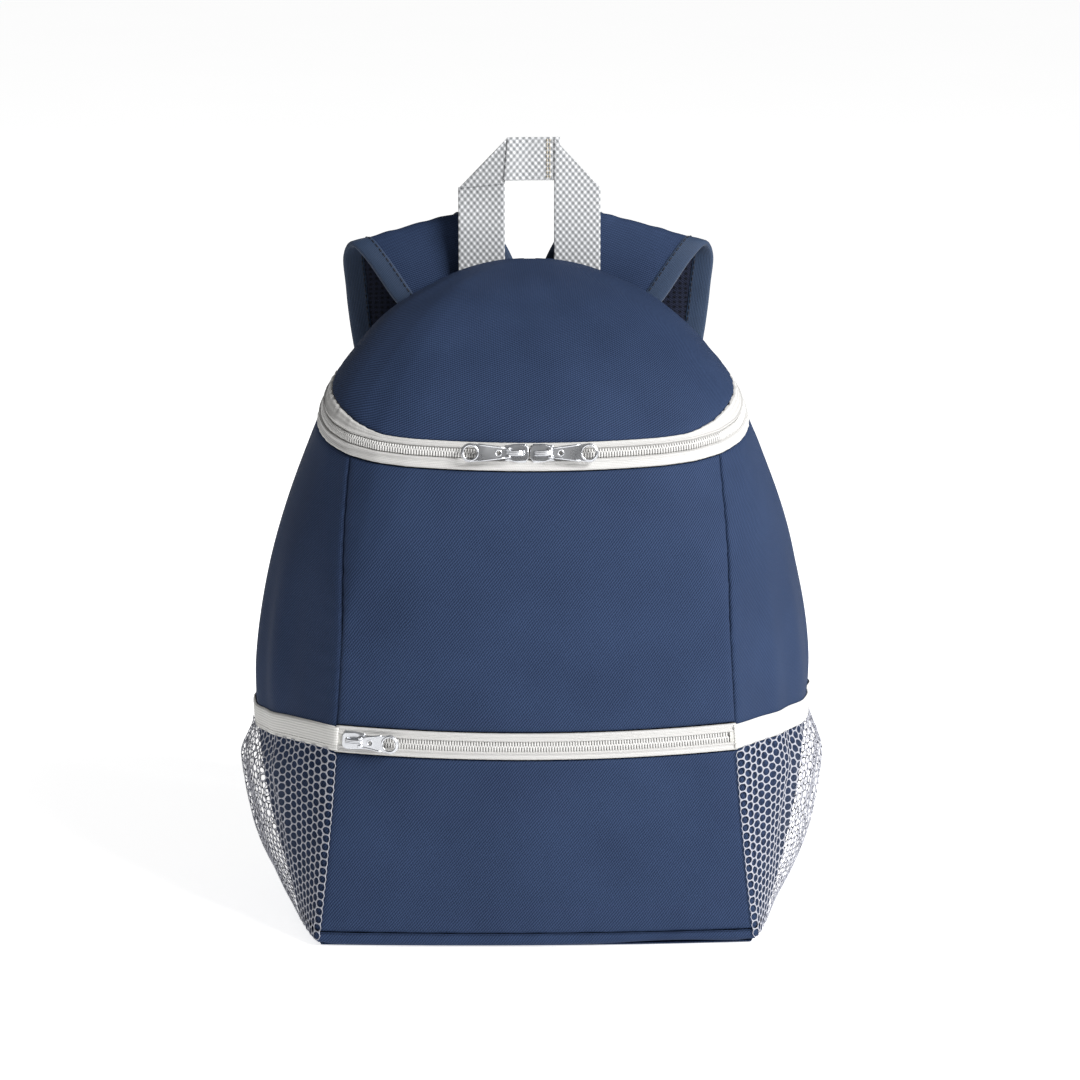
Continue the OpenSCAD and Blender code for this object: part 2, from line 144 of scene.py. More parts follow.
def points(*coordinates):
    return np.stack(np.broadcast_arrays(*coordinates), axis=-1).astype(float)


def bell(x, middle, width):
    return np.exp(-(((x - middle) / width) ** 2))


def ripple(x, wave, seed=0.0):
    """An uneven wave of about that wavelength, from -1 to 1."""
    turn = 2 * math.pi * x / wave
    main = np.sin(turn + seed)
    return (main + 0.6 * np.sin(turn / 0.62 + 1.7 * seed) + 0.4 * np.sin(turn / 1.73 + 2.3 * seed)) / 2


def curve(rows, s):
    """A smooth line through rows of points, at places s counted in rows."""
    last = len(rows) - 1
    i = np.minimum(np.floor(s).astype(int), last - 1)
    t = (s - i)[..., None]
    p0, p1, p2, p3 = (rows[np.clip(i + k, 0, last)] for k in (-1, 0, 1, 2))
    bend = 2 * p0 - 5 * p1 + 4 * p2 - p3 + t * (3 * (p1 - p2) + p3 - p0)
    return p1 + 0.5 * t * (p2 - p0 + t * bend)


def run_along(line):
    """How far along a line of points each of them lies."""
    return np.concatenate([[0], np.cumsum(np.linalg.norm(np.diff(line, axis=0), axis=1))])


def steps(length, step, edge=(0.35, 0.9, 1.8)):
    """Shares from 0 to 1 along a length, closer together at both ends."""
    ends = [e / length for e in edge]
    inside = np.linspace(ends[-1], 1 - ends[-1], max(2, round(length / step)) + 1)
    return np.concatenate([[0], ends[:-1], inside, [1 - e for e in ends[:-1]][::-1], [1]])


def edge_distance(a, b, width, height):
    """How far points at shares a and b of a panel lie from its nearest edge."""
    return np.minimum(np.minimum(a, 1 - a) * width, np.minimum(b, 1 - b) * height)


def rounded_rise(away, reach):
    """From 0 at an edge to 1 at that reach from it, along a quarter of an ellipse."""
    share = clamp(away / reach)
    return np.sqrt(share * (2 - share))


# --- The bag's surface --------------------------------------------------------------------------

def half_w(z):
    below = BELLY_W / 2 - (BELLY_W - BASE_W) / 2 * ((BELLY_Z - z) / BELLY_Z) ** 2
    rise = np.maximum(z - BELLY_Z, 0) / (LID_W_Z - BELLY_Z)
    return np.where(z < BELLY_Z, below, BELLY_W / 2 - (BELLY_W - LID_W) / 2 * rise**SIDE_POWER)


def seam_x(z):
    return SEAM_TOP + (SEAM_BASE - SEAM_TOP) * (1 - np.minimum(z, ZIP_Z) / ZIP_Z) ** 2


def front_y(z):
    return FRONT_Y + FRONT_CURVE * (z - FRONT_Z) ** 2


def front_point(x, z):
    seam = seam_x(z)
    sag = lerp(SAG_BASE, SAG_TOP, np.sin(math.pi / 2 * np.minimum(1, z / SAG_Z)))
    radius = (seam**2 + sag**2) / (2 * sag)
    return points(x, front_y(z) + radius - np.sqrt(radius**2 - x**2))


def side_point(t, z):
    seam = front_point(seam_x(z), z)
    belly = points(half_w(z), BELLY_Y)
    back = points(half_w(z) * lerp(BACK_RATIO_BASE, BACK_RATIO_TOP, z / LID_W_Z), BACK_Y)
    pull = 2 * belly - (seam + back) / 2
    t = np.asarray(t)[..., None]
    return (1 - t) ** 2 * seam + 2 * t * (1 - t) * pull + t**2 * back


def section(u, z):
    u, z = np.broadcast_arrays(np.asarray(u, float), np.asarray(z, float))
    front = front_point(np.minimum(abs(u), 1) * seam_x(z), z)
    side = side_point(np.maximum(abs(u) - 1, 0), z)
    xy = np.where((abs(u) <= 1)[..., None], front, side)
    return xy * points(np.where(u < 0, -1, 1), 1)


def ring_z(u):
    """Height of the main zip."""
    return ZIP_Z + ZIP_RISE * (section(u, ZIP_Z + 12)[..., 1] - front_y(ZIP_Z))


def sharp_bag(u, v):
    """Points of the bag's surface before its front corners are rounded off."""
    u, v = np.broadcast_arrays(np.asarray(u, float), np.asarray(v, float))
    top = ring_z(u)
    wall_z = np.minimum(v, 1) * top
    wall = section(u, wall_z)
    lean = LEAN + np.maximum(v - 1, 0) * (math.pi / 2 - LEAN)
    shrink = np.cos(lean) / math.cos(LEAN)
    climb = (np.sin(lean) - math.sin(LEAN)) / (1 - math.sin(LEAN))
    low = v <= 1
    x = np.where(low, wall[..., 0], wall[..., 0] * shrink)
    y = np.where(low, wall[..., 1], BACK_Y + (wall[..., 1] - BACK_Y) * shrink)
    z = np.where(low, wall_z, top + (APEX_Z - top) * climb)
    return points(x, y, z)


def bag(u, v):
    """Points of the bag's surface, with its front corners rounded off from below the zip upwards."""
    u, v = np.broadcast_arrays(np.asarray(u, float), np.asarray(v, float))
    reach = np.minimum(CORNER_ROUND * ease((v - 0.6) / 0.4), np.maximum(2 - abs(u), 0))
    return sum(weight * sharp_bag(u + reach * share, v) for share, weight in ROUNDING)


def level(u, v):
    """The v that keeps one height round the side, with the droop of the pockets' bands."""
    droop = BAND_DROOP * np.where(u < 0, 1, RIGHT_DROOP)
    droop = droop * np.minimum(1, v / BAND_LO) * ease((abs(u) - 1) / 0.5)
    return (v - droop) * ring_z(1.0) / ring_z(u)


def tape_top(u):
    """Top of the main zip's upper tape, which is wider round the sides than across the front."""
    return 1 + TAPE_HALF * (1 + SIDE_TAPE * ease((abs(u) - 0.75) / 0.5))


def bag_normal(u, v):
    step = 0.001
    along = bag(u + step, v) - bag(u - step, v)
    up = bag(u, np.minimum(v + step, 1.9999)) - bag(u, np.maximum(v - step, 0))
    return unit(np.cross(along, up))


def relief(u, v):
    """How far slack, folds and seam puckers lift the cloth off the plain surface."""
    side = np.maximum(abs(u) - 1, 0)
    height = v * ZIP_Z
    seed = np.where(u < 0, 1.3, 4.1)
    wall = clamp((1 - TAPE_HALF - v) / 0.05) * clamp((v - RIM_V) / 0.04)
    seam_near = np.exp(-abs(abs(u) - 1) * FRONT_ARC / 6)
    off_zip = clamp(abs(v - POCKET_V) / 0.05 - 0.5)
    puckers = 0.45 * seam_near * ripple(height, 9.5, seed) * off_zip
    slack = 0.7 * ripple(u * FRONT_ARC + 0.4 * height, 118, 0.6) * off_zip
    folds = 1.5 * clamp(side * 6) * bell(v, 0.5, 0.17) * ripple(side * SIDE_ARC, 41, seed)
    lines = 0.6 * clamp(side * 5) * ripple(side * SIDE_ARC + 0.3 * height, 63, seed + 2)
    rim = 0.5 * bell(v, RIM_V, 0.03) * ripple(u * FRONT_ARC, 17, 2.2)
    top = ease((v - tape_top(u)) / 0.12) * ease((1.9 - v) / 0.35)
    dome = top * (0.8 * ripple(u * 90 + v * 60, 74, 0.4) + 0.7 * ripple(v * 150 - u * 40, 92, 2.0))
    seam = bell(v, tape_top(u) + SEAM_GAP, 0.05)
    gather = 0.5 * seam * clamp(abs(u) - 0.6) * ripple(u * SIDE_ARC, 9, 0.9)
    return np.where(v <= 1, wall * (puckers + slack + folds + lines + rim), 0.8 * dome + gather)


def skin(u, v, out=0.0):
    """Points that stand out from the cloth's surface by out."""
    return bag(u, v) + bag_normal(u, v) * (np.asarray(out) + relief(u, v))[..., None]


def edge_u(v, share):
    """Where the lid's back edge runs, at a share of a side's width from the back panel."""
    lean = LEAN + (v - 1) * (math.pi / 2 - LEAN)
    spread = math.cos(LEAN) / np.maximum(0.02, np.cos(lean))
    share = lerp(share, SEWN_SHARE, clamp((v - BACK_ZIP_END) / 0.12))
    return 2 - np.minimum(0.6, share * spread)


def between(u0, u1, v0, v1):
    """A panel between two values of u and two of v, by shares across and up it."""
    return lambda a, b: (lerp(u0, u1, a), lerp(v0, v1, b))


def side_panel(side, near, far, v0, v1):
    """A panel on one side, from near the front seam to near the back panel."""
    return between(near, far, v0, v1) if side > 0 else between(-far, -near, v0, v1)


def lid_uv(share, top=LID_TOP):
    """The lid between its back edges, which lie at that share of a side from the back panel."""
    def place_uv(a, b):
        low_u = edge_u(1 + TAPE_HALF, share) * (2 * a - 1)
        v = lerp(tape_top(low_u) - SEAM_GAP, top, b)
        return edge_u(v, share) * (2 * a - 1), v
    return place_uv


# --- Mesh making --------------------------------------------------------------------------------

def make(name, shape, look, body, slot, *nodes):
    """One piece, in metres, that rides on a body and is shown instead of the CAD nodes named."""
    verts, faces, weave = (*shape, None)[:3]
    mesh = bpy.data.meshes.new(name)
    mesh.from_pydata((np.asarray(verts) * MM).tolist(), [], [list(map(int, f)) for f in faces])
    mesh.polygons.foreach_set("use_smooth", [True] * len(mesh.polygons))
    if weave is not None:
        held = np.zeros((len(verts), 3))
        held[:, :weave.shape[1]] = weave
        layer = mesh.attributes.new("weave", "FLOAT_VECTOR", "POINT")
        layer.data.foreach_set("vector", (held * MM).ravel())
    mesh.materials.append(look)
    piece = bpy.data.objects.new(name, mesh)
    bpy.context.scene.collection.objects.link(piece)
    if body:
        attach(piece, body)
    if nodes:
        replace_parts(piece, *nodes)
    return piece


def grid_faces(rows, cols, closed=False):
    index = np.arange(rows * cols).reshape(rows, cols)
    if closed:
        index = np.concatenate([index, index[:, :1]], axis=1)
    corners = [index[:-1, :-1], index[:-1, 1:], index[1:, 1:], index[1:, :-1]]
    return np.stack([c.ravel() for c in corners], axis=1)


def grid_weave(grid):
    """Distances along the cloth from the middle column and up it, for each point of a grid."""
    across = np.linalg.norm(np.diff(grid, axis=1), axis=-1)
    x = np.concatenate([np.zeros((len(grid), 1)), np.cumsum(across, axis=1)], axis=1)
    x -= x[:, grid.shape[1] // 2][:, None]
    return points(x, run_along(grid[:, grid.shape[1] // 2])[:, None])


def shell(outer, inner):
    """A closed skin between two grids of points."""
    rows, cols = outer.shape[:2]
    count = rows * cols
    index = np.arange(count).reshape(rows, cols)
    front = grid_faces(rows, cols)
    edge = np.concatenate([index[0, :-1], index[:-1, -1], index[-1, :0:-1], index[:0:-1, 0]])
    ahead = np.roll(edge, -1)
    rim = np.stack([ahead, edge, edge + count, ahead + count], axis=1)
    faces = np.concatenate([front, front[:, ::-1] + count, rim])
    verts = np.concatenate([outer.reshape(-1, 3), inner.reshape(-1, 3)])
    return verts, faces, np.concatenate([grid_weave(outer).reshape(-1, 2)] * 2)


def joined(shapes):
    """Several shapes as one."""
    all_verts, all_faces, all_weave, count = [], [], [], 0
    for verts, faces, *weave in shapes:
        verts = np.asarray(verts, float).reshape(-1, 3)
        all_verts.append(verts)
        all_faces.extend([[int(i) + count for i in face] for face in faces])
        all_weave.extend(weave or [np.zeros((len(verts), 2))])
        count += len(verts)
    return np.concatenate(all_verts), all_faces, np.concatenate(all_weave)


def mirror(shape, side):
    """A shape of the right strap as it is, or turned over for the left one."""
    verts, faces, weave = shape
    return verts * (side, 1, 1), faces if side > 0 else [list(f)[::-1] for f in faces], weave


SWELL_FRAMES, PRESSURE, QUALITY = 20, 4.0, 6


def settle(piece, held, cap):
    """Lets a closed piece swell under pressure; held points stay, others move by at most cap."""
    mesh, scene = piece.data, bpy.context.scene
    rest = np.empty(len(mesh.vertices) * 3)
    mesh.vertices.foreach_get("co", rest)
    group = piece.vertex_groups.new(name="held")
    group.add([int(i) for i in np.flatnonzero(held)], 1.0, "REPLACE")
    cloth = piece.modifiers.new("swell", "CLOTH")
    cloth.settings.vertex_group_mass = group.name
    cloth.settings.use_pressure = True
    cloth.settings.uniform_pressure_force = PRESSURE
    cloth.settings.effector_weights.gravity = 0.0
    cloth.settings.quality = QUALITY
    for frame_number in range(1, SWELL_FRAMES + 1):
        scene.frame_set(frame_number)
    swollen = piece.evaluated_get(bpy.context.evaluated_depsgraph_get()).to_mesh()
    after = np.empty_like(rest)
    swollen.vertices.foreach_get("co", after)
    moved = (after - rest).reshape(-1, 3)
    length = np.linalg.norm(moved, axis=1, keepdims=True)
    moved *= np.minimum(1.0, cap * MM / np.maximum(length, 1e-9))
    piece.modifiers.remove(cloth)
    piece.vertex_groups.remove(group)
    mesh.vertices.foreach_set("co", rest + moved.ravel())
    mesh.update()
    scene.frame_set(1)


def refine(piece):
    """Divides a piece's faces once, for good, so that its mesh is final."""
    divide = piece.modifiers.new("divide", "SUBSURF")
    divide.levels = divide.render_levels = 1
    whole = piece.evaluated_get(bpy.context.evaluated_depsgraph_get())
    finer = bpy.data.meshes.new_from_object(whole, depsgraph=bpy.context.evaluated_depsgraph_get())
    piece.modifiers.remove(divide)
    piece.data = finer


def capsule(length, radius, height):
    """A short rounded rod along x, centred on the origin."""
    sides = 6
    ends = [(-0.5, 0.35), (-0.36, 1), (0.36, 1), (0.5, 0.35)]
    angles = np.arange(sides) * 2 * math.pi / sides
    rings = [
        points(share * length, np.cos(angles) * radius * size, np.sin(angles) * height * size)
        for share, size in ends
    ]
    faces = grid_faces(len(ends), sides, closed=True).tolist()
    last = (len(ends) - 1) * sides
    faces += [list(range(sides))[::-1], list(range(last, last + sides))]
    return np.concatenate(rings), faces


def scatter(shape, origin, x_axis, z_axis):
    """Copies of a shape, each on its own axes."""
    verts, faces = shape
    x_axis, z_axis = unit(x_axis), unit(z_axis)
    y_axis = unit(np.cross(z_axis, x_axis))
    axes = np.stack([x_axis, y_axis, np.cross(x_axis, y_axis)], axis=1)
    placed = origin[:, None] + np.einsum("vk,nkc->nvc", verts, axes)
    all_faces = [[i + k * len(verts) for i in f] for k in range(len(origin)) for f in faces]
    return placed.reshape(-1, 3), all_faces


def tube(line, radius, sides=8, closed=False, facing=(0.3, 0.2, 1.0)):
    """A round tube along a line of points. facing keeps its section from turning."""
    line = np.asarray(line, float)
    ahead = np.roll(line, -1, axis=0) - np.roll(line, 1, axis=0) if closed else np.gradient(line, axis=0)
    ahead = unit(ahead)
    side = unit(np.cross(ahead, np.broadcast_to(np.asarray(facing, float), line.shape)))
    up = np.cross(side, ahead)
    angles = np.arange(sides) * 2 * math.pi / sides
    ring = side[:, None] * np.cos(angles)[None, :, None] + up[:, None] * np.sin(angles)[None, :, None]
    verts = (line[:, None] + ring * radius).reshape(-1, 3)
    faces = grid_faces(len(line), sides, closed=True).tolist()
    last = (len(line) - 1) * sides
    if closed:
        faces += [[last + i, last + (i + 1) % sides, (i + 1) % sides, i] for i in range(sides)]
    else:
        faces += [list(range(sides))[::-1], list(range(last, last + sides))]
    return verts, faces


def ribbon(path, width, thickness):
    """Webbing along a path of points, with its width along x."""
    across = np.array([1.0, 0, 0])
    normal = unit(np.cross(across, unit(np.gradient(path, axis=0))))[:, None]
    shares = np.array([-0.5, -0.492, -0.47, -0.42, -0.25, 0, 0.25, 0.42, 0.47, 0.492, 0.5])
    bulk = np.array([0.3, 0.75, 0.95, 1, 1, 1, 1, 1, 0.95, 0.75, 0.3])[None, :, None]
    grid = path[:, None] + across * shares[None, :, None] * width
    return shell(grid + normal * bulk * thickness / 2, grid - normal * bulk * thickness / 2)


def stitches(line, out, pitch=3.1, length=2.3, thread=0.28):
    """A row of stitches along a line, lying on a surface that faces out."""
    out = np.broadcast_to(np.asarray(out, float), line.shape)
    run = run_along(line)
    at = np.arange(pitch / 2, run[-1], pitch)
    spots = np.stack([np.interp(at, run, line[:, k]) for k in range(3)], axis=1)
    rows = np.linspace(0, 1, len(out))
    facing = np.stack([np.interp(at / run[-1], rows, out[:, k]) for k in range(3)], axis=1)
    return scatter(capsule(length, thread, thread), spots, unit(np.gradient(spots, axis=0)), facing)


def outline(loops, thickness, bevel):
    """A flat plate with holes and rounded edges, from closed outlines in x and y."""
    curve = bpy.data.curves.new("outline", "CURVE")
    curve.dimensions, curve.fill_mode = "2D", "BOTH"
    curve.extrude, curve.bevel_depth, curve.bevel_resolution = thickness / 2 - bevel, bevel, 2
    curve.offset = -bevel
    for loop in loops:
        spline = curve.splines.new("POLY")
        spline.points.add(len(loop) - 1)
        spline.points.foreach_set("co", points(loop[:, 0], loop[:, 1], 0, 1).ravel())
        spline.use_cyclic_u = True
    holder = bpy.data.objects.new("outline", curve)
    bpy.context.scene.collection.objects.link(holder)
    mesh = holder.evaluated_get(bpy.context.evaluated_depsgraph_get()).to_mesh()
    verts = np.array([v.co for v in mesh.vertices], float).reshape(-1, 3)
    faces = [list(p.vertices) for p in mesh.polygons]
    holder.to_mesh_clear()
    bpy.data.objects.remove(holder)
    bpy.data.curves.remove(curve)
    return verts, faces


def arc(centre, radius, start, end, count):
    angles = np.radians(np.linspace(start, end, count))
    return points(centre[0] + radius * np.cos(angles), centre[1] + radius * np.sin(angles))


def place(verts, matrix):
    return verts @ matrix[:3, :3].T + matrix[:3, 3]


def on_bag(u, v, side):
    """Axes along the zip, up the bag and outwards at a point; side -1 mirrors the first."""
    step = 0.001
    along = unit(bag(u + step, v) - bag(u - step, v))
    out = unit(np.cross(along, bag(u, v) - bag(u, v - step)))
    up = np.cross(out, along)
    return np.stack([along * side, up, out, bag(u, v)], axis=1)


# --- Materials ----------------------------------------------------------------------------------

def rgb(red, green, blue):
    """A colour from its usual 0 to 255 screen numbers."""
    shares = [c / 255 for c in (red, green, blue)]
    linear = [s / 12.92 if s < 0.04 else ((s + 0.055) / 1.055) ** 2.4 for s in shares]
    return (*linear, 1.0)


class Look:
    """A material with short calls for the nodes that make cloth, metal and plastic."""

    def __init__(self, name, roughness=0.8, metallic=0.0, sheen=0.0, specular=0.4):
        self.material = bpy.data.materials.new(name)
        self.material.use_nodes = True
        self.tree = self.material.node_tree
        self.surface = self.tree.nodes["Principled BSDF"]
        self.set(self.surface, "Roughness", roughness)
        self.set(self.surface, "Metallic", metallic)
        self.set(self.surface, "Sheen Weight", sheen)
        self.set(self.surface, "Sheen Roughness", 0.45)
        self.set(self.surface, "Specular IOR Level", specular)

    def set(self, node, socket, value):
        target = node.inputs[socket]
        if isinstance(value, bpy.types.NodeSocket):
            self.tree.links.new(value, target)
        else:
            target.default_value = value

    def math(self, operation, a, b=0.0, c=0.0):
        node = self.tree.nodes.new("ShaderNodeMath")
        node.operation = operation
        for k, value in enumerate((a, b, c)):
            self.set(node, k, value)
        return node.outputs[0]

    def times(self, a, b):
        return self.math("MULTIPLY", a, b)

    def scaled(self, a, share, b):
        """a times share, plus b."""
        return self.math("MULTIPLY_ADD", a, share, b)

    def wave(self, distance, pitch_m):
        """From 0 to 1 and back over each pitch."""
        return self.scaled(self.math("COSINE", self.times(distance, 2 * math.pi / pitch_m)), 0.5, 0.5)

    def cloth(self):
        """Distances across and up the cloth, in metres, and 1 on a strap's underside."""
        node = self.tree.nodes.new("ShaderNodeAttribute")
        node.attribute_name = "weave"
        split = self.tree.nodes.new("ShaderNodeSeparateXYZ")
        self.set(split, 0, node.outputs["Vector"])
        return split.outputs[0], split.outputs[1], self.times(split.outputs[2], 1 / MM)

    def texture(self, kind, scale, output):
        """A texture that is fixed to the piece."""
        node = self.tree.nodes.new(kind)
        self.set(node, "Vector", self.tree.nodes.new("ShaderNodeTexCoord").outputs["Object"])
        self.set(node, "Scale", scale)
        return node, node.outputs[output]

    def noise(self, scale, detail):
        node, value = self.texture("ShaderNodeTexNoise", scale, "Fac")
        self.set(node, "Detail", detail)
        return value

    def mix(self, share, first, second):
        node = self.tree.nodes.new("ShaderNodeMix")
        node.data_type = "RGBA"
        self.set(node, 0, share)
        self.set(node, 6, first)
        self.set(node, 7, second)
        return node.outputs[2]

    def finish(self, colour, height, depth_m, strength, roughness=None):
        """Sets the colour and the bumps, and the roughness where it varies."""
        self.set(self.surface, "Base Color", colour)
        if roughness is not None:
            self.set(self.surface, "Roughness", roughness)
        node = self.tree.nodes.new("ShaderNodeBump")
        self.set(node, "Height", height)
        self.set(node, "Distance", depth_m)
        self.set(node, "Strength", strength)
        self.set(self.surface, "Normal", node.outputs[0])
        return self.material


TWILL_PITCH_M, TWILL_YARN_M, TAPE_YARN_M, SPACER_PITCH_M = 0.00115, 0.0013, 0.0011, 0.0032


def twill_look(name, degrees, underside=False):
    """Navy polyester twill: slanting ribs of short yarns. A strap's underside is dark spacer mesh, its
    holes painted near-black as painted shade.
    """
    look = Look(name, specular=0.07)
    x, y, under = look.cloth()
    sine, cosine = math.sin(math.radians(degrees)), math.cos(math.radians(degrees))
    across = look.math("SUBTRACT", look.times(x, sine), look.times(y, cosine))
    along = look.math("ADD", look.times(x, cosine), look.times(y, sine))
    across = look.math("ADD", across, look.times(look.noise(90, 2), 0.0012))
    yarn = look.wave(look.scaled(across, 0.5, along), TWILL_YARN_M)
    height = look.scaled(yarn, 0.35, look.wave(across, TWILL_PITCH_M))
    fibre, patch = look.noise(2600, 2), look.noise(26, 3)
    shade = look.scaled(height, 0.5, look.scaled(fibre, 0.25, look.times(patch, 0.3)))
    colour = look.mix(look.times(shade, 0.8), rgb(6, 12, 29), rgb(52, 68, 98))
    if underside:
        # The mesh's holes are painted near-black: painted shade inside them, over the mesh's own dark
        # colour.
        holes = look.times(look.wave(x, SPACER_PITCH_M), look.wave(y, SPACER_PITCH_M))
        colour = look.mix(under, colour, look.mix(holes, rgb(24, 28, 42), rgb(4, 5, 9)))
    bumps, roughness = look.scaled(fibre, 0.3, height), look.scaled(fibre, 0.2, 0.62)
    return look.finish(colour, bumps, 0.00014, 0.8, roughness)


def ribbed_look(name, light, dark, pitch_m, lengthwise=True):
    """Woven tape: fine ribs across it, or lengthwise, over a lattice of yarns."""
    look = Look(name, roughness=0.7, sheen=0.1, specular=0.35)
    x, y, _ = look.cloth()
    first, second = (y, x) if lengthwise else (x, y)
    yarn = look.wave(look.scaled(first, 0.5, second), TAPE_YARN_M)
    height = look.scaled(yarn, 0.3, look.wave(first, pitch_m))
    shade = look.scaled(height, 0.45, look.times(look.noise(1800, 2), 0.4))
    return look.finish(look.mix(shade, dark, light), height, 0.0001, 0.7)


def webbing_look(name, light, dark, across_m, along_m):
    """Coarse webbing: plump yarn crossings in staggered rows, with painted shade in the gaps between them.
    """
    look = Look(name, roughness=0.68, sheen=0.1, specular=0.35)
    x, y, _ = look.cloth()
    first = look.math("COSINE", look.times(x, math.pi / across_m))
    second = look.math("COSINE", look.times(y, math.pi / along_m))
    grain = look.scaled(look.times(first, second), 0.5, 0.5)
    fibre = look.noise(1500, 3)
    # The gaps between crossings take the dark colour: painted shade where the yarns dip.
    shade = look.scaled(look.math("POWER", grain, 1.5), 0.95, look.times(fibre, 0.25))
    colour = look.mix(look.math("SUBTRACT", shade, 0.15), dark, light)
    return look.finish(colour, look.scaled(fibre, 0.2, grain), 0.00025, 0.7)


def fine_look(name, light, dark, scale, detail, depth_m, **surface):
    """Spun thread or pressed board: one fine uneven grain."""
    look = Look(name, **surface)
    grain = look.noise(scale, detail)
    return look.finish(look.mix(grain, dark, light), grain, depth_m, 0.5)


def thread_look(name, light, dark, roughness=0.6):
    return fine_look(name, light, dark, 2200, 3, 0.0001, roughness=roughness, specular=0.35)


def metal_look():
    """Bright nickel-plated zinc with rubbed spots and faint casting unevenness."""
    look = Look("nickel", metallic=0.95)
    cast, rub = look.noise(420, 3), look.noise(90, 4)
    colour = look.mix(rub, rgb(166, 168, 172), rgb(212, 213, 216))
    return look.finish(colour, cast, 0.00008, 0.35, look.scaled(rub, 0.25, 0.16))


def plastic_look():
    """Black moulded acetal with a fine satin grain."""
    look = Look("black_plastic", specular=0.5)
    grain, rub = look.noise(1600, 2), look.noise(70, 3)
    colour = look.mix(rub, rgb(22, 23, 26), rgb(36, 38, 42))
    return look.finish(colour, grain, 0.00005, 0.5, look.scaled(rub, 0.2, 0.32))


def foam_look():
    """Pale open-cell foam."""
    look = Look("foam", roughness=0.95, specular=0.2)
    _, cells = look.texture("ShaderNodeTexVoronoi", 900, "Distance")
    return look.finish(look.mix(cells, rgb(150, 150, 142), rgb(226, 226, 218)), cells, 0.0004, 0.8)


def lining_look():
    """Thin silver-grey taffeta, crinkled, with a fine square weave."""
    look = Look("lining", roughness=0.5, sheen=0.1, specular=0.5)
    crease, fine = look.noise(60, 5), look.noise(2400, 1)
    shade = look.scaled(fine, 0.4, look.times(crease, 0.5))
    colour = look.mix(shade, rgb(128, 132, 138), rgb(196, 199, 204))
    return look.finish(colour, look.scaled(fine, 0.08, crease), 0.0016, 0.7)


NAVY = twill_look("navy_twill", 50)
NAVY_LID = twill_look("navy_twill_lid", 28)
STRAP = twill_look("navy_strap", 35, underside=True)
BINDING = ribbed_look("navy_binding", rgb(34, 56, 84), rgb(10, 22, 40), 0.00085, lengthwise=False)
NAVY_THREAD = thread_look("navy_thread", rgb(16, 23, 40), rgb(6, 10, 19))
TAPE = ribbed_look("zip_tape", rgb(190, 189, 187), rgb(152, 151, 149), 0.0008)
ELASTIC = ribbed_look("elastic", rgb(212, 211, 208), rgb(156, 155, 152), 0.0013)
COIL = thread_look("coil", rgb(198, 197, 195), rgb(166, 165, 163), roughness=0.4)
WHITE_THREAD = thread_look("white_thread", rgb(216, 215, 211), rgb(160, 159, 154))
BEIGE_THREAD = thread_look("beige_thread", rgb(196, 184, 160), rgb(140, 130, 110))
# Each webbing's second colour fills the gaps between its crossings, as painted shade.
WEBBING = webbing_look("grey_webbing", rgb(206, 207, 209), rgb(112, 114, 116), 0.0016, 0.0019)
DARK_WEBBING = webbing_look("dark_webbing", rgb(52, 62, 92), rgb(14, 18, 32), 0.0014, 0.0016)
NET = thread_look("net_yarn", rgb(166, 167, 176), rgb(116, 117, 124), roughness=0.55)
METAL = metal_look()
PLASTIC = plastic_look()
FOAM = foam_look()
LINING = lining_look()
BOARD = fine_look("board", rgb(70, 70, 72), rgb(34, 34, 36), 700, 4, 0.0002, roughness=0.9, specular=0.2)


# --- Cloth panels -------------------------------------------------------------------------------

CLOTH_T, CLOTH_STEP = 1.4, 2.4
TURN_DROP, TURN_REACH = 1.6, 2.4


def sewn(name, place_uv, size, look, body, node, puff=0.5):
    """A panel of cloth that is puffed up a little and falls towards the seams at its edges."""
    a, b = np.meshgrid(steps(size[0], CLOTH_STEP), steps(size[1], CLOTH_STEP))
    u, v = place_uv(a, b)
    fall = TURN_DROP * (1 - rounded_rise(edge_distance(a, b, *size), TURN_REACH))
    out = puff - fall
    shape = shell(skin(u, v, out), skin(u, v, np.minimum(out - 0.4, -CLOTH_T)))
    return make(name, shape, look, body, "navy_fabric", node)


front_uv = between(-0.998, 0.998, BAND_HI + SEAM_GAP, WALL_TOP)
sewn("front_panel_cloth", front_uv, (190, 128), NAVY, "bag", "front_panel")
pocket_uv = between(-0.998, 0.998, RIM_V, BAND_LO - SEAM_GAP)
sewn("pocket_panel_cloth", pocket_uv, (205, 92), NAVY, "bag", "front_pocket_panel")
for name, side in SIDES:
    gusset_uv = side_panel(side, 1.002, 1.996, RIM_V, WALL_TOP)
    sewn(f"gusset_{name}_cloth", gusset_uv, (165, 240), NAVY, "bag", f"gusset_{name}")
sewn("lid_dome_cloth", lid_uv(0.078, DOME_TOP), (420, 150), NAVY_LID, "lid", "lid_dome", puff=0.8)


# --- Base ---------------------------------------------------------------------------------------

# How the rim runs down from its top edge and how far out it stands there
RIM_DOWN = np.array([0, 0.02, 0.1, 0.3, 0.55, 0.75, 0.88, 0.96, 1.0, 1.0])[:, None]
RIM_OUT = np.array([0.9, 0.35, 0.15, 0.55, 0.6, 0.1, -1.2, -2.8, -5.0, -9.0])[:, None]
BASE_T = 0.9


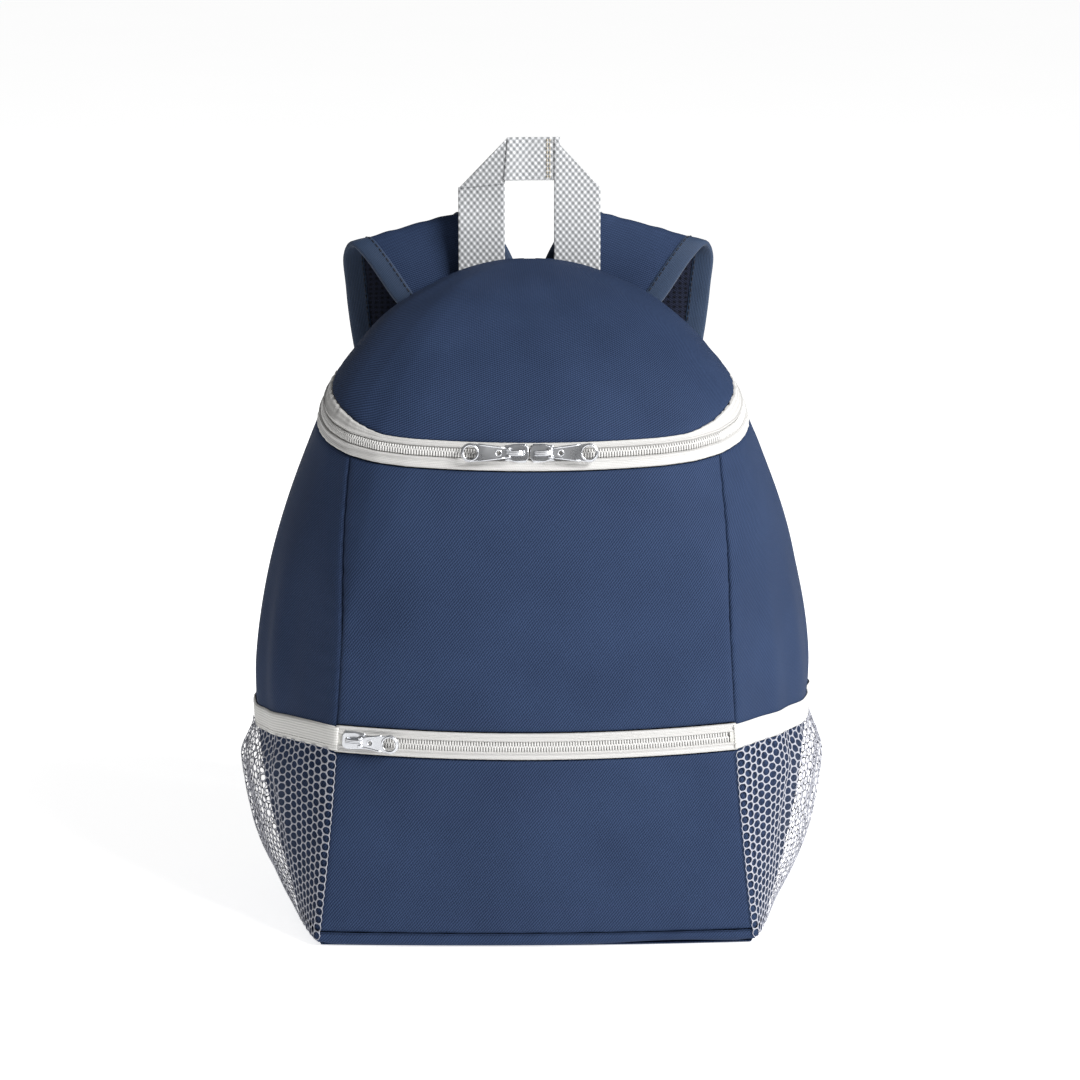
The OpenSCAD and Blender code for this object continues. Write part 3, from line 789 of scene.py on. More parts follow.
def base_rim():
    """The strip round the base, which turns under and lifts a little at the front right."""
    u = np.linspace(-1.998, 1.998, 260)
    foot, normal = bag(u, 0.012), bag_normal(u, 0.012)[None]
    lift = 1.9 * bell(u, 0.62, 0.3) + 1.2 * bell(abs(u), 1.0, 0.07)
    wave = 0.35 * ripple(u * FRONT_ARC, 21, 1.1)
    wall = RIM_DOWN < 0.9
    outer = foot[None] + normal * (RIM_OUT + wave * (1 - RIM_DOWN))[..., None]
    outer[..., 2] = lerp(RIM_V * ring_z(u), 0.15 + lift, RIM_DOWN)
    inner = outer - normal * BASE_T * wall[..., None]
    inner[..., 2] = outer[..., 2] + np.where(wall, 0, BASE_T)
    make("base_rim_cloth", shell(outer[::-1], inner[::-1]), NAVY, "bag", "navy_fabric", "base_rim")


def base_cloth():
    """The flat cloth under the base, with a slight hollow in its middle."""
    u = np.linspace(-2, 2, 121)
    share = np.concatenate([[1, 0.985, 0.96], np.linspace(0.9, 0.04, 14)])[:, None]
    edge = section(u, 0) * (1 - 3.0 / half_w(np.array(0.0)))
    middle = np.array([0, BELLY_Y])
    xy = middle + (edge - middle) * share[..., None]
    lower = points(xy[..., 0], xy[..., 1], 0.5 + 0.5 * ease((1 - share) / 0.1))
    verts, faces, _ = shell(lower, lower + (0, 0, BASE_T))
    make("base_cloth", (verts, faces, verts[:, :2]), NAVY, "bag", "navy_fabric", "base_panel")


base_rim()
base_cloth()


# --- Zips ---------------------------------------------------------------------------------------

# Height of a tape above the cloth, from the coil outwards; its ridge ends at RIDGE_SHARE
TAPE_SHARES = np.array([0, 0.15, 0.31, 0.36, 0.41, 0.46, 0.51, 0.56, 0.65, 0.78, 0.9, 0.97, 1.0])
TAPE_HEIGHTS = np.array([-0.4, -0.4, -0.35, 0.6, 1.3, 1.45, 1.2, 0.75, 0.7, 0.9, 1.05, 0.8, 0.1])
RIDGE_SHARE = 0.6
TAPE_STEP = 2.2
MAIN_LENGTH, POCKET_LENGTH = 470, 200
STRIP_LENGTH, STRIP_TOP, STRIP_SINK = 42, BACK_ZIP_END - 0.04, 2.2
TOOTH_PITCH, TOOTH_R, TOOTH_T, TOOTH_REACH = 1.35, 0.58, 0.62, 0.18


def along_zip(u_end, v_in, v_out):
    return lambda a, s: (lerp(-u_end, u_end, a), lerp(v_in, v_out, s))


def upper_tape_uv(a, s):
    """The upper half of the main zip's tape: only the flat band beyond its ridge gets wider."""
    u = lerp(-RING_END, RING_END, a)
    wider = tape_top(u) - 1 - TAPE_HALF
    return u, lerp(1 + TAPE_GAP, 1 + TAPE_HALF, s) + wider * clamp((s - RIDGE_SHARE) / (1 - RIDGE_SHARE))


def up_back(side, near, far):
    """The strip of zip that runs up the lid's back edge, from near the coil to its outer edge."""
    def place_uv(a, s):
        v = lerp(1.0, STRIP_TOP, a)
        return side * edge_u(v, lerp(near, far, s)), v
    return place_uv


def tape(place_uv, length, gathers=0.0, sink=0.0):
    """Half of a zip's tape. place_uv takes shares along it and from the coil outwards.

    Its outer edge is gathered a little, and its far end sinks under the lid's cloth by sink.
    """
    a, s = np.meshgrid(np.linspace(0, 1, round(length / TAPE_STEP) + 1), TAPE_SHARES)
    u, v = place_uv(a, s)
    edge = ease((s - 0.6) / 0.4)
    corner = clamp(abs(u) - 0.75) * clamp(2.2 - abs(u))
    out = np.interp(s, TAPE_SHARES, TAPE_HEIGHTS) - sink * ease((a - 0.65) / 0.35)
    out = out + edge * gathers * (0.25 + 1.6 * corner) * ripple(a * length, 6.3, 0.7)
    pull = 1 + 0.09 * gathers * edge * (0.3 + corner) * ripple(a * length, 7.1, 2.0)
    pulled_u, pulled_v = place_uv(a, s * pull)
    u, v = np.where(s < 1, u, pulled_u), np.where(s < 1, v, pulled_v)
    outer, inner = skin(u, v, out), skin(u, v, np.minimum(out - 0.5, -0.9))
    if np.cross(outer[0, 1] - outer[0, 0], outer[1, 0] - outer[0, 0]) @ bag_normal(u[0, 0], v[0, 0]) < 0:
        outer, inner = outer[::-1], inner[::-1]
    return shell(outer, inner)


def back_strips(near, far):
    """Half the tape of both strips that run up the lid's back edges."""
    return [tape(up_back(side, near, far), STRIP_LENGTH, sink=STRIP_SINK) for side in (1, -1)]


def tape_piece(name, halves, body="bag"):
    make(f"{name}_cloth", joined(halves), TAPE, body, "zip_tape", name)


def teeth(place_uv, length, phase=0.0):
    """Half a coil: each tooth is a short rod from its tape to just past the middle."""
    share = np.linspace(0, 1, round(length) * 2)
    run = run_along(skin(*place_uv(share, 0 * share)))
    at = np.interp(np.arange(TOOTH_PITCH * (0.5 + phase), run[-1] - 1, TOOTH_PITCH), run, share)
    inner = skin(*place_uv(at, 0 * at - TOOTH_REACH))
    outer = skin(*place_uv(at, 0 * at + 1))
    normal = bag_normal(*place_uv(at, 0 * at))
    length_across = float(np.median(np.linalg.norm(outer - inner, axis=1)))
    tooth = capsule(length_across, TOOTH_R, TOOTH_T)
    return scatter(tooth, (inner + outer) / 2 + normal * 0.35, outer - inner, normal)


def coil(name, body, halves):
    make(f"{name}_teeth", joined(halves), COIL, body, "zip_coil", name)


tape_piece("main_tape_lower", [
    tape(along_zip(1.998, 1 - TAPE_GAP, 1 - TAPE_HALF), MAIN_LENGTH, 0.25),
    *back_strips(0.036, 0.004),
])
tape_piece("main_tape_upper", [tape(upper_tape_uv, MAIN_LENGTH, 0.8), *back_strips(0.042, 0.076)], "lid")
for name, near, far in (("upper", TAPE_GAP, BAND_HI), ("lower", -TAPE_GAP, BAND_LO)):
    tape_piece(f"pocket_tape_{name}", [tape(along_zip(0.999, POCKET_V + near, far), POCKET_LENGTH, 0.15)])

for name, body, far, side_far, phase in (("lower", "bag", -1, 0.027, 0.0), ("upper", "lid", 1, 0.051, 0.5)):
    far_v = 1 + far * (COIL_HALF - TAPE_GAP)
    coil(f"main_coil_{name}", body, [
        teeth(along_zip(1.93, 1.0, far_v), MAIN_LENGTH, phase),
        *(teeth(up_back(side, 0.039, side_far), STRIP_LENGTH, phase) for side in (1, -1)),
    ])
coil("pocket_coil", "bag", [
    teeth(along_zip(0.965, POCKET_V, POCKET_V - COIL_HALF), POCKET_LENGTH),
    teeth(along_zip(0.965, POCKET_V, POCKET_V + COIL_HALF), POCKET_LENGTH, 0.5),
])

SLIDER_R, SLIDER_T, SLIDER_Z = 4.4, 1.3, 1.45
FLANGE_R, CROWN_R = 0.75, 0.62
EYE_R, EYE_HOLE_R, EYE_RIM, PULLER_T = 4.7, 3.15, 3.75, 1.0
SMALL_HOLE, SMALL_HOLE_R, SMALL_RIM = 4.9, 1.0, 1.45


def slider(name, u, v, side=1):
    """A cast slider: shield-shaped plate, side flanges and the crown that its puller hangs on."""
    shield = np.concatenate([
        points([-6.2, -5.2], [2.4, 3.9]),
        arc((0, 0), SLIDER_R, 100, 60, 5) * (1, 0.98),
        arc((4.6, 0), 2.9, 60, -60, 9),
        arc((0, 0), SLIDER_R, -60, -100, 5) * (1, 0.98),
        points([-5.2, -6.2], [-3.9, -2.4]),
    ])[::-1]
    matrix = on_bag(u, v, side)
    plate, faces = outline([shield], SLIDER_T, 0.35)
    shapes = [(place(plate + (0, 0, SLIDER_Z), matrix), faces)]
    for edge in (-1, 1):
        y = edge * (3.9 - 0.7 * ease(np.linspace(-0.6, 1, 12)))
        shapes.append(tube(place(points(np.linspace(-5.0, 5.4, 12), y, FLANGE_R), matrix), FLANGE_R))
    angles = np.linspace(math.pi, 0, 15)
    crown = points(PIN_X / 2 - 1.2 + 4.6 * np.cos(angles), 0, 1.9 + 2.9 * np.sin(angles) ** 0.7)
    for lane in (-0.75, 0, 0.75):
        shapes.append(tube(place(crown + (0, lane, 0), matrix), CROWN_R, facing=matrix[:, 1]))
    make(f"{name}_cast", joined(shapes), METAL, name, "nickel", name)


def puller(name, u, v, length, side=1):
    """A flat tapered puller with a rimmed round eye, a small hole and a knuckle on the slider."""
    eye, hole = (length - EYE_R, 0), (PIN_X + SMALL_HOLE, 0)
    shape = np.concatenate([arc((PIN_X + 1.0, 0), 2.5, 115, 245, 10), arc(eye, EYE_R, -84, 84, 28)])
    holes = [arc(eye, EYE_HOLE_R, 360, 13, 26), arc(hole, SMALL_HOLE_R, 360, 24, 15)]
    matrix = on_bag(u, v, side)
    out = matrix[:, 2]
    plate, faces = outline([shape, *holes], PULLER_T, 0.28)
    shapes = [(place(plate + (0, 0, PIN_Z), matrix), faces)]
    for centre, radius, thread in ((eye, EYE_RIM, 0.62), (hole, SMALL_RIM, 0.42)):
        ring = points(*arc(centre, radius, 0, 346, 26).T, PIN_Z + 0.2)
        shapes.append(tube(place(ring, matrix), thread, closed=True, facing=out))
    for edge in (-1, 1):
        knuckle = points(PIN_X, np.linspace(edge * 1.2, edge * 2.5, 4), PIN_Z)
        shapes.append(tube(place(knuckle, matrix), 1.5, 12, facing=out))
        reach = np.linspace(PIN_X + 1.2, length - 8.6, 6)
        rail = points(reach, edge * np.linspace(2.3, 4.0, 6), PIN_Z + 0.35)
        shapes.append(tube(place(rail, matrix), 0.5, facing=out))
    make(f"{name}_cast", joined(shapes), METAL, name, "nickel", name)


# Just under the main zip's line, where the surface has no kink
MAIN_ZIP_V = 0.9999
MAIN_PULLER, POCKET_PULLER = 27.0, 23.0

for name, side in SIDES:
    main_u = (MAIN_MEET_X + side * MAIN_SLIDER_X) / float(seam_x(np.array(ZIP_Z)))
    slider(f"main_slider_{name}", main_u, MAIN_ZIP_V, side)
    puller(f"main_puller_{name}", main_u, MAIN_ZIP_V, MAIN_PULLER, side)
pocket_u = POCKET_SLIDER_X / float(seam_x(np.array(POCKET_V * ZIP_Z)))
slider("pocket_slider", pocket_u, POCKET_V)
puller("pocket_puller", pocket_u, POCKET_V, POCKET_PULLER)


def bartacks():
    """Dense stitches across both ends of the pocket's zip, which stop its slider."""
    shapes = []
    for end_u in (-0.982, 0.982):
        u = end_u + np.arange(-3, 4) * 0.0056
        v = np.full_like(u, POCKET_V)
        spots = skin(u, v, 0.9)
        up = skin(u, v + 0.01, 0.9) - spots
        shapes.append(scatter(capsule(6.4, 0.34, 0.34), spots, up, bag_normal(u, v)))
    make("pocket_zip_bartacks", joined(shapes), WHITE_THREAD, "bag", "zip_tape", "pocket_zip_stops")


bartacks()


# --- Net pockets --------------------------------------------------------------------------------

NET_BULGE, NET_CLEAR = 9.0, 1.2
BAND_CLEAR, BAND_STAND, BAND_SLACK = 0.5, 0.3, 0.5
HEX_SIDE, YARN, YARN_T = 2.75, 0.46, 0.42
NET_W, NET_H = 170.0, 110.0
BAND_SHARES = np.array([0, 0.04, 0.12, 0.2, 0.3, 0.42, 0.54, 0.66, 0.78, 0.88, 0.96, 1.0])
BAND_HEIGHTS = np.array([0.1, 0.8, 1.0, 0.85, 1.05, 0.9, 1.1, 0.95, 1.1, 1.0, 0.75, 0.1])
STITCH_ROW = 3


def side_u(side, a):
    return side * lerp(0.984, 1.965, a)


def band_out(a):
    """How far the band stands off the side: it hugs it, a little less tightly towards the back."""
    stand = BAND_STAND + BAND_SLACK * ease((a - 0.4) / 0.3)
    return BAND_CLEAR + stand * ease(a / 0.06) * ease((1 - a) / 0.2)


def net_out(a, b, seed):
    """How far the net stands off the gusset: a slack bag, with folds that hang from its band."""
    round_side = ease(a / 0.5) ** 0.8 * ease((1 - a) / 0.22)
    bulge = NET_BULGE * round_side * np.sin(np.minimum(math.pi / 2, 3.4 * b)) ** 0.8
    slack = lerp(bulge, band_out(a), ease((b - 0.8) / 0.2))
    folds = bell(b, 0.7, 0.34) * ease(5 * a) * ease(6 * (1 - a))
    slant = a * NET_W + 26 * (1 - b)
    return NET_CLEAR + slack + folds * (1.5 * ripple(slant, 33, seed) + 0.8 * ripple(slant, 15, seed + 1))


def hexagons():
    """The net laid flat: cells shrunk by the yarn, and the faces between them.

    A ring of cells past the net's edge closes its outermost loops, and has no yarn of its own.
    """
    columns, rows = round(NET_W / (1.5 * HEX_SIDE)), round(NET_H / (math.sqrt(3) * HEX_SIDE))
    turns = math.pi / 3 * np.arange(6)
    corner = points(np.cos(turns), np.sin(turns))
    flat, shared, sides = [], {}, {}
    for i in range(-1, columns + 1):
        for j in range(-1, rows + 1):
            kept = 0 <= i < columns and 0 <= j < rows
            middle = HEX_SIDE * np.array([1.5 * (i + 0.5), math.sqrt(3) * (j + 0.25 + 0.5 * (i % 2))])
            spots = [tuple(spot) for spot in np.round(middle + HEX_SIDE * corner, 2)]
            first = len(flat)
            flat.extend(middle + (HEX_SIDE - YARN / math.sqrt(3)) * corner)
            for k in range(6):
                ends = frozenset((spots[k], spots[(k + 1) % 6]))
                shared.setdefault(spots[k], []).append((first + k, kept))
                sides.setdefault(ends, []).append((first + k, first + (k + 1) % 6, kept))
    flat = np.array(flat)
    pairs = [pair for pair in sides.values() if len(pair) == 2 and (pair[0][2] or pair[1][2])]
    faces = [[a[1], a[0], b[1], b[0]] for a, b in pairs]
    for trio in shared.values():
        if len(trio) == 3 and any(kept for _, kept in trio):
            ring = [k for k, _ in trio]
            middle = flat[ring].mean(axis=0)
            faces.append(sorted(ring, key=lambda k: math.atan2(*(flat[k] - middle)[::-1])))
    used = sorted({k for face in faces for k in face})
    place_of = {k: n for n, k in enumerate(used)}
    return flat[used] - flat[used].min(axis=0), [[place_of[k] for k in face] for face in faces]


def net(name, side):
    """A side pocket of hexagon net, from the base rim up to its elastic band."""
    flat, faces = hexagons()
    width, height = flat.max(axis=0)
    x, y = flat.T
    a = clamp((x + 0.22 * ripple(7 * y + x, 11, 1)) / width)
    b = clamp((y + 0.22 * ripple(5 * x, 13, 2)) / height)
    u = side_u(side, a)
    v = level(u, lerp(0.014, BAND_LO + 0.006, b))
    faces = faces if side > 0 else [face[::-1] for face in faces]
    piece = make(f"net_pocket_{name}", (skin(u, v, net_out(a, b, 1.0 + side)), faces), NET, "bag", "mesh")
    yarn = piece.modifiers.new("yarn", "SOLIDIFY")
    yarn.thickness, yarn.offset = YARN_T * MM, 0
    rounding = piece.modifiers.new("round", "SUBSURF")
    rounding.levels = rounding.render_levels = 1
    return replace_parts(piece, f"mesh_pocket_{name}")


def band(name, side):
    """The elastic hem of a net pocket, ribbed along its length and stitched near its lower edge."""
    a, s = np.meshgrid(np.linspace(0, 1, 110), BAND_SHARES)
    a = a if side > 0 else 1 - a
    u = side_u(side, a)
    v = level(u, lerp(BAND_LO + 0.002, BAND_HI - 0.002, s))
    base, normal = skin(u, v), bag_normal(u, v)
    low = band_out(a)
    high = low + np.interp(s, BAND_SHARES, BAND_HEIGHTS) + 0.12 * ripple(a * NET_W, 5, side)
    shape = shell(base + normal * high[..., None], base + normal * low[..., None])
    hem = make(f"pocket_band_{name}_elastic", shape, ELASTIC, "bag", "elastic", f"pocket_band_{name}")
    line = (base + normal * (high + 0.1)[..., None])[STITCH_ROW]
    row = stitches(line, normal[STITCH_ROW], 2.6, 1.9, 0.2)
    make(f"pocket_band_{name}_stitches", row, WHITE_THREAD, "bag", "elastic")
    return hem


for name, side in SIDES:
    hem = band(name, side)
    pocket_net = net(name, side)


# --- Handle -------------------------------------------------------------------------------------

handle_low, handle_high = box_mm("handle")
anchor_low, anchor_high = box_mm("handle_anchor")
HANDLE_OUT, HANDLE_TOP = handle_high.x, handle_high.z
HANDLE_IN = anchor_high.x - 24.2
SHOULDER_Z, BAND_Z = HANDLE_TOP - 26.5, HANDLE_TOP - 22.4
FOLD_X = 11.0
WEBBING_T, GRAIN_X, GRAIN_Z, GRAIN_T = 0.8, 1.6, 1.9, 0.24


def webbing_strip(left, right, y, count, across=True):
    """Webbing between two edge lines, its crossings standing up as small grains on both faces."""
    rows, sides = np.linspace(0, 1, count[1])[:, None], np.linspace(0, 1, count[0])
    first, last = (lerp(np.array(low, float), np.array(high, float), rows) for low, high in (left, right))
    xz = first[:, None] + (last - first)[:, None] * sides[None, :, None]
    cell = (GRAIN_X, GRAIN_Z) if across else (GRAIN_Z, GRAIN_X)
    wave = np.cos(math.pi * xz[..., 0] / cell[0]) * np.cos(math.pi * xz[..., 1] / cell[1])
    edge = np.sqrt(clamp(np.minimum(sides, 1 - sides) * 24))[None, :]
    bulk = WEBBING_T / 2 * (0.35 + 0.65 * edge) + GRAIN_T * (0.5 + 0.5 * wave) ** 1.3 * edge
    middle = y(xz[..., 0], xz[..., 1])
    verts, faces, _ = shell(points(xz[..., 0], middle - bulk, xz[..., 1]),
                            points(xz[..., 0], middle + bulk, xz[..., 1]))
    return verts, faces, np.concatenate([xz.reshape(-1, 2)] * 2)


def handle():
    """One webbing with a folded corner at each end of its top: the band passes behind the right leg."""
    low, y_back, y_front = anchor_low.z, handle_high.y - 0.45, handle_low.y + 0.45

    def left_y(x, z):
        """The left fold leans back from its inner edge."""
        return y_back + 0.17 * np.maximum(-HANDLE_IN - x, 0) * ease((z - SHOULDER_Z + 22) / 22)

    def fold_y(x, z):
        return left_y(x, z) - 0.5

    def right_y(x, z):
        return y_front + 0.06 * (x - HANDLE_IN) + 0 * z

    def band_y(x, z):
        return lerp(y_front - 0.6, y_back, ease((x + HANDLE_IN) / HANDLE_IN)) + 0 * z

    left_leg = webbing_strip(
        [(-HANDLE_OUT, low), (-HANDLE_OUT, SHOULDER_Z)],
        [(-HANDLE_IN, low), (-HANDLE_IN, SHOULDER_Z + 2.6)], left_y, (62, 170))
    right_leg = webbing_strip(
        [(HANDLE_IN, low), (HANDLE_IN, HANDLE_TOP - 0.8)],
        [(HANDLE_OUT, low), (HANDLE_OUT, SHOULDER_Z)], right_y, (62, 170))
    fold = webbing_strip(
        [(-HANDLE_OUT + 0.2, SHOULDER_Z - 0.4), (-FOLD_X - 0.4, HANDLE_TOP - 0.2)],
        [(-HANDLE_IN, SHOULDER_Z + 2.4), (-FOLD_X, HANDLE_TOP - 0.1)], fold_y, (50, 70))
    top = webbing_strip(
        [(-HANDLE_IN - 0.6, BAND_Z), (-FOLD_X - 0.4, HANDLE_TOP)],
        [(HANDLE_IN + 3, BAND_Z), (HANDLE_IN + 3, HANDLE_TOP)], band_y, (90, 70), across=False)
    shape = joined([left_leg, right_leg, fold, top])
    piece = make("handle_webbing", shape, WEBBING, None, "grey_webbing")
    lines = [points(x, y_back - 0.95, np.linspace(BAND_Z + 1, HANDLE_TOP - 1, 12))
             for x in (HANDLE_IN - 2.2, HANDLE_IN - 3.6)]
    thread = joined([stitches(line, (0, -1, 0), 2.1, 1.6, 0.24) for line in lines])
    make("handle_stitches", thread, BEIGE_THREAD, "handle", "grey_webbing")
    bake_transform(piece)
    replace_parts(piece, "handle", "handle_anchor")


handle()


# --- Shoulder straps ----------------------------------------------------------------------------

BIND_W = 11.0
EDGE_T, UPPER_T, PAD_T, STRAP_SWELL = 2.2, 3.0, 6.6, 1.6

# One face of the folded tape: reach from the strap's edge, lift, and share of the strap's thickness
BIND_FACE = [
    (BIND_W, 0.0, 0.7), (BIND_W - 0.2, 0.5, 1), (BIND_W - 1.4, 0.5, 1), (BIND_W / 2, 0.7, 1),
    (1.2, 0.6, 1), (0.1, 0.35, 0.85), (-0.5, 0.0, 0.45),
]


def strap_edge(s, edge):
    return curve(STRAP_ROWS[:, edge], s)


def strap_middle(a, s):
    first, last = strap_edge(s, 0), strap_edge(s, 1)
    return first + (last - first) * a[..., None]


def strap_surface(a, s):
    """Middle points of the strap, its normal and the way across it."""
    step = 0.01
    across = unit(strap_middle(a + step, s) - strap_middle(a - step, s))
    after, before = np.minimum(s + step, END_ROW), np.maximum(s - step, 0)
    ahead = unit(strap_middle(a, after) - strap_middle(a, before))
    return strap_middle(a, s), unit(np.cross(across, ahead)), across


def strap_bulk(a, s):
    """The strap's thickness: flat under its binding, padded between, thin above the crest."""
    width = np.linalg.norm(strap_edge(s, 1) - strap_edge(s, 0), axis=-1)
    away = np.minimum(a, 1 - a) * width
    pad = lerp(UPPER_T, PAD_T, ease((s - CREST_ROW) / 1.2) * ease((END_ROW - 0.15 - s) / 0.5))
    return lerp(EDGE_T, pad, ease((away - BIND_W + 2) / 9))


def strap_blend(piece):
    """Bakes the piece's place into its mesh."""
    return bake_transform(piece)


def strap(name, side):
    """A shoulder strap from its anchor over the crest to its lower end."""
    a, s = np.meshgrid(steps(60, 3.2), np.linspace(0, END_ROW, 150))
    middle, normal, _ = strap_surface(a, s)
    wrinkle = 0.5 * bell(s, CREST_ROW + 0.2, 0.5) * ripple(a * 70, 15, 1.2 + side)
    half = strap_bulk(a, s) / 2
    outer = middle + normal * (half + wrinkle)[..., None]
    inner = middle - normal * (half + 0.4 * wrinkle)[..., None]
    verts, faces, weave = mirror(shell(outer, inner), side)
    weave = np.column_stack([weave, np.repeat([0, 1], len(weave) // 2)])
    piece = make(f"strap_{name}_cloth", (verts, faces, weave), STRAP, None, "navy_fabric")
    held = (half < EDGE_T / 2 + 0.5) | (s < CREST_ROW + 0.3) | (s > END_ROW - 0.3)
    settle(piece, np.tile(held.ravel(), 2), STRAP_SWELL)
    refine(piece)
    strap_blend(piece)
    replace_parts(piece, f"strap_upper_{name}", f"strap_pad_{name}")


def bind(name, side):
    """The tape folded over each edge of the strap, and its stitch rows on both faces."""
    s = np.linspace(0, END_ROW, 150)
    other_face = [(reach, -lift, -share) for reach, lift, share in BIND_FACE[::-1]]
    profile = np.array(BIND_FACE + [(-0.65, 0, 0)] + other_face)
    reach, lift, share = profile.T[:, None, :, None]
    tapes, thread = [], []
    for edge in (0, 1):
        base = strap_edge(s, edge)
        _, normal, across = strap_surface(np.full_like(s, edge), s)
        inward = across * (1 - 2 * edge)
        outer = base[:, None] + inward[:, None] * reach + normal[:, None] * (share * EDGE_T / 2 + lift)
        centre = base[:, None] + inward[:, None] * (reach * 0.85 + 0.9)
        inner = lerp(outer, centre, 0.28)
        order = slice(None, None, 1 if edge else -1)
        tapes.append(mirror(shell(outer[:, order], inner[:, order]), side))
        for up in (1, -1):
            line = base + inward * (BIND_W - 1.4) + normal * up * (EDGE_T / 2 + 0.62)
            thread.append(stitches(line * (side, 1, 1), normal * (side * up, up, up), 3.2, 2.3, 0.3))
    for what, shapes, look in (("binding", tapes, BINDING), ("stitches", thread, NAVY_THREAD)):
        strap_blend(make(f"strap_{name}_{what}", joined(shapes), look, None, "navy_webbing"))


for name, side in SIDES:
    strap(name, side)
    bind(name, side)


# --- Back of the bag ----------------------------------------------------------------------------

CHANNEL_ZS, YOKE_Z = (98.0, 178.0), 258.0
PAD_BACK, PAD_CROWN, PAD_SWELL = 2.3, 2.4, 1.8
BORDER = 7.5


def arch(a, v, inset=0.0, low=0.0):
    """x, z and distance from the side of a plate like the back panel; a is -1 to 1 across it."""
    corner = bag(np.full_like(v, 2.0), v)
    x = a * corner[..., 0] * (1 - inset / (BELLY_W / 2))
    return x, low + corner[..., 2] * (1 - (inset + low) / APEX_Z), (1 - abs(a)) * corner[..., 0]


def arch_grid(inset=0.0, low=0.0):
    v = np.concatenate([np.linspace(0, 1, 84), np.linspace(1, 1.9, 24)[1:]])
    a, v = np.meshgrid(1 - 2 * steps(250, 3.6), v)
    return arch(a, v, inset, low)


def back_height(z, away):
    """How far the back panel's padding stands out between its seams, from 0 to 1."""
    border = ease((np.minimum(np.minimum(away, z), 1.6 * (APEX_Z - z)) - 9) / 11)
    channels = 1 - sum(bell(z, channel_z, 4.5) for channel_z in CHANNEL_ZS)
    return border * channels * ease((YOKE_Z - 2 - z) / 10)


def back_row(a, v):
    """A row of stitches on the flat stretches of the back panel."""
    x, z, away = arch(a, v)
    y = BACK_Y + PAD_BACK + PAD_CROWN * back_height(z, away) + 0.3
    return stitches(points(x, y, z), (0, 1, 0), 3.4, 2.5, 0.3)


def back_pad():
    """The padded back panel: swollen fields between a sewn border, two channels and a flat yoke."""
    x, z, away = arch_grid()
    full = back_height(z, away)
    seam = 0.5 * bell(away, BORDER, 1.3) * (z < YOKE_Z + 20)
    y = BACK_Y + PAD_BACK + PAD_CROWN * full - seam + 0.15 * ripple(x + 0.5 * z, 37)
    shape = shell(points(x, y, z), points(x, BACK_Y + 0.3, z))
    piece = make("back_pad", shape, NAVY, "bag", "navy_fabric")
    settle(piece, np.concatenate([(full < 0.12).ravel(), np.full(full.size, True)]), PAD_SWELL)
    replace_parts(piece, "back_panel")


def back_stitches():
    """Rows along both channels, up both sides and under the yoke."""
    side_v = np.linspace(0.04, 1.8, 120)
    side_a = 1 - BORDER / bag(np.full_like(side_v, 2.0), side_v)[:, 0]
    rows = [(np.linspace(0.9, -0.9, 40), np.full(40, z / float(ring_z(2.0)))) for z in CHANNEL_ZS]
    rows += [(side_a, side_v), (-side_a, side_v)]
    rows += [(np.linspace(0.96, -0.96, 40), np.full(40, YOKE_Z / float(ring_z(2.0))))]
    thread = joined([back_row(a, v) for a, v in rows])
    make("back_stitches", thread, NAVY_THREAD, "bag", "navy_fabric")


def piping():
    """The corded edge that is sewn between the sides and the back panel."""
    right = bag(2.0, np.linspace(0.015, 1.9, 130))
    line = np.concatenate([right * (-1, 1, 1), right[::-1]]) + (0, 1.3, -0.9)
    verts, faces = tube(line, 1.4, 10, facing=(0, 1, 0))
    make("back_piping", (verts, faces, verts[:, [2, 0]]), NAVY, "bag", "navy_fabric")


def patch(name, node, crosses=0):
    """A fabric patch on the bag's back, pressed down by its rows of stitches."""
    low, high = box_mm(node)
    width, depth, height = high - low
    a, b = np.meshgrid(steps(width, 2.0), steps(height, 1.6))
    x, z = lerp(high.x, low.x, a), lerp(low.z, high.z, b)
    away = edge_distance(a, b, width, height)
    dent = 0.35 * bell(away, 3, 0.9)
    y = low.y + 0.6 + (depth - 1.0) * rounded_rise(away, 2.2) - dent + 0.15 * ripple(x + z, 13)
    shape = shell(points(x, y, z), points(x, low.y + 0.2, z))
    make(name, shape, NAVY, "bag", "navy_fabric", node)
    x0, x1, z0, z1 = low.x + 3, high.x - 3, low.z + 3, high.z - 3
    rows = [((x0, z0), (x1, z0)), ((x1, z0), (x1, z1)), ((x1, z1), (x0, z1)), ((x0, z1), (x0, z0))]
    for k in range(crosses):
        left, right = (lerp(x0, x1, (k + end) / crosses) for end in (0, 1))
        rows += [((left, z0), (right, z1)), ((left, z1), (right, z0))]
    thread = []
    for start, end in rows:
        line = lerp(np.array(start), np.array(end), np.linspace(0, 1, 20)[:, None])
        thread.append(stitches(points(line[:, 0], high.y - 0.5, line[:, 1]), (0, 1, 0), 2.9, 2.1, 0.28))
    make(f"{name}_stitches", joined(thread), NAVY_THREAD, "bag", "navy_fabric")


back_pad()
back_stitches()
piping()
patch("strap_patch", "strap_anchor", crosses=3)
for name, side in SIDES:
    patch(f"corner_tab_{name}", f"webbing_tab_{name}")


# --- Strap ends ---------------------------------------------------------------------------------

BAR_R, LOOP_RISE = 2.9, 16
LOWER_T, LOOP_T = 1.2, 1.3
HEM_POINTS = 8


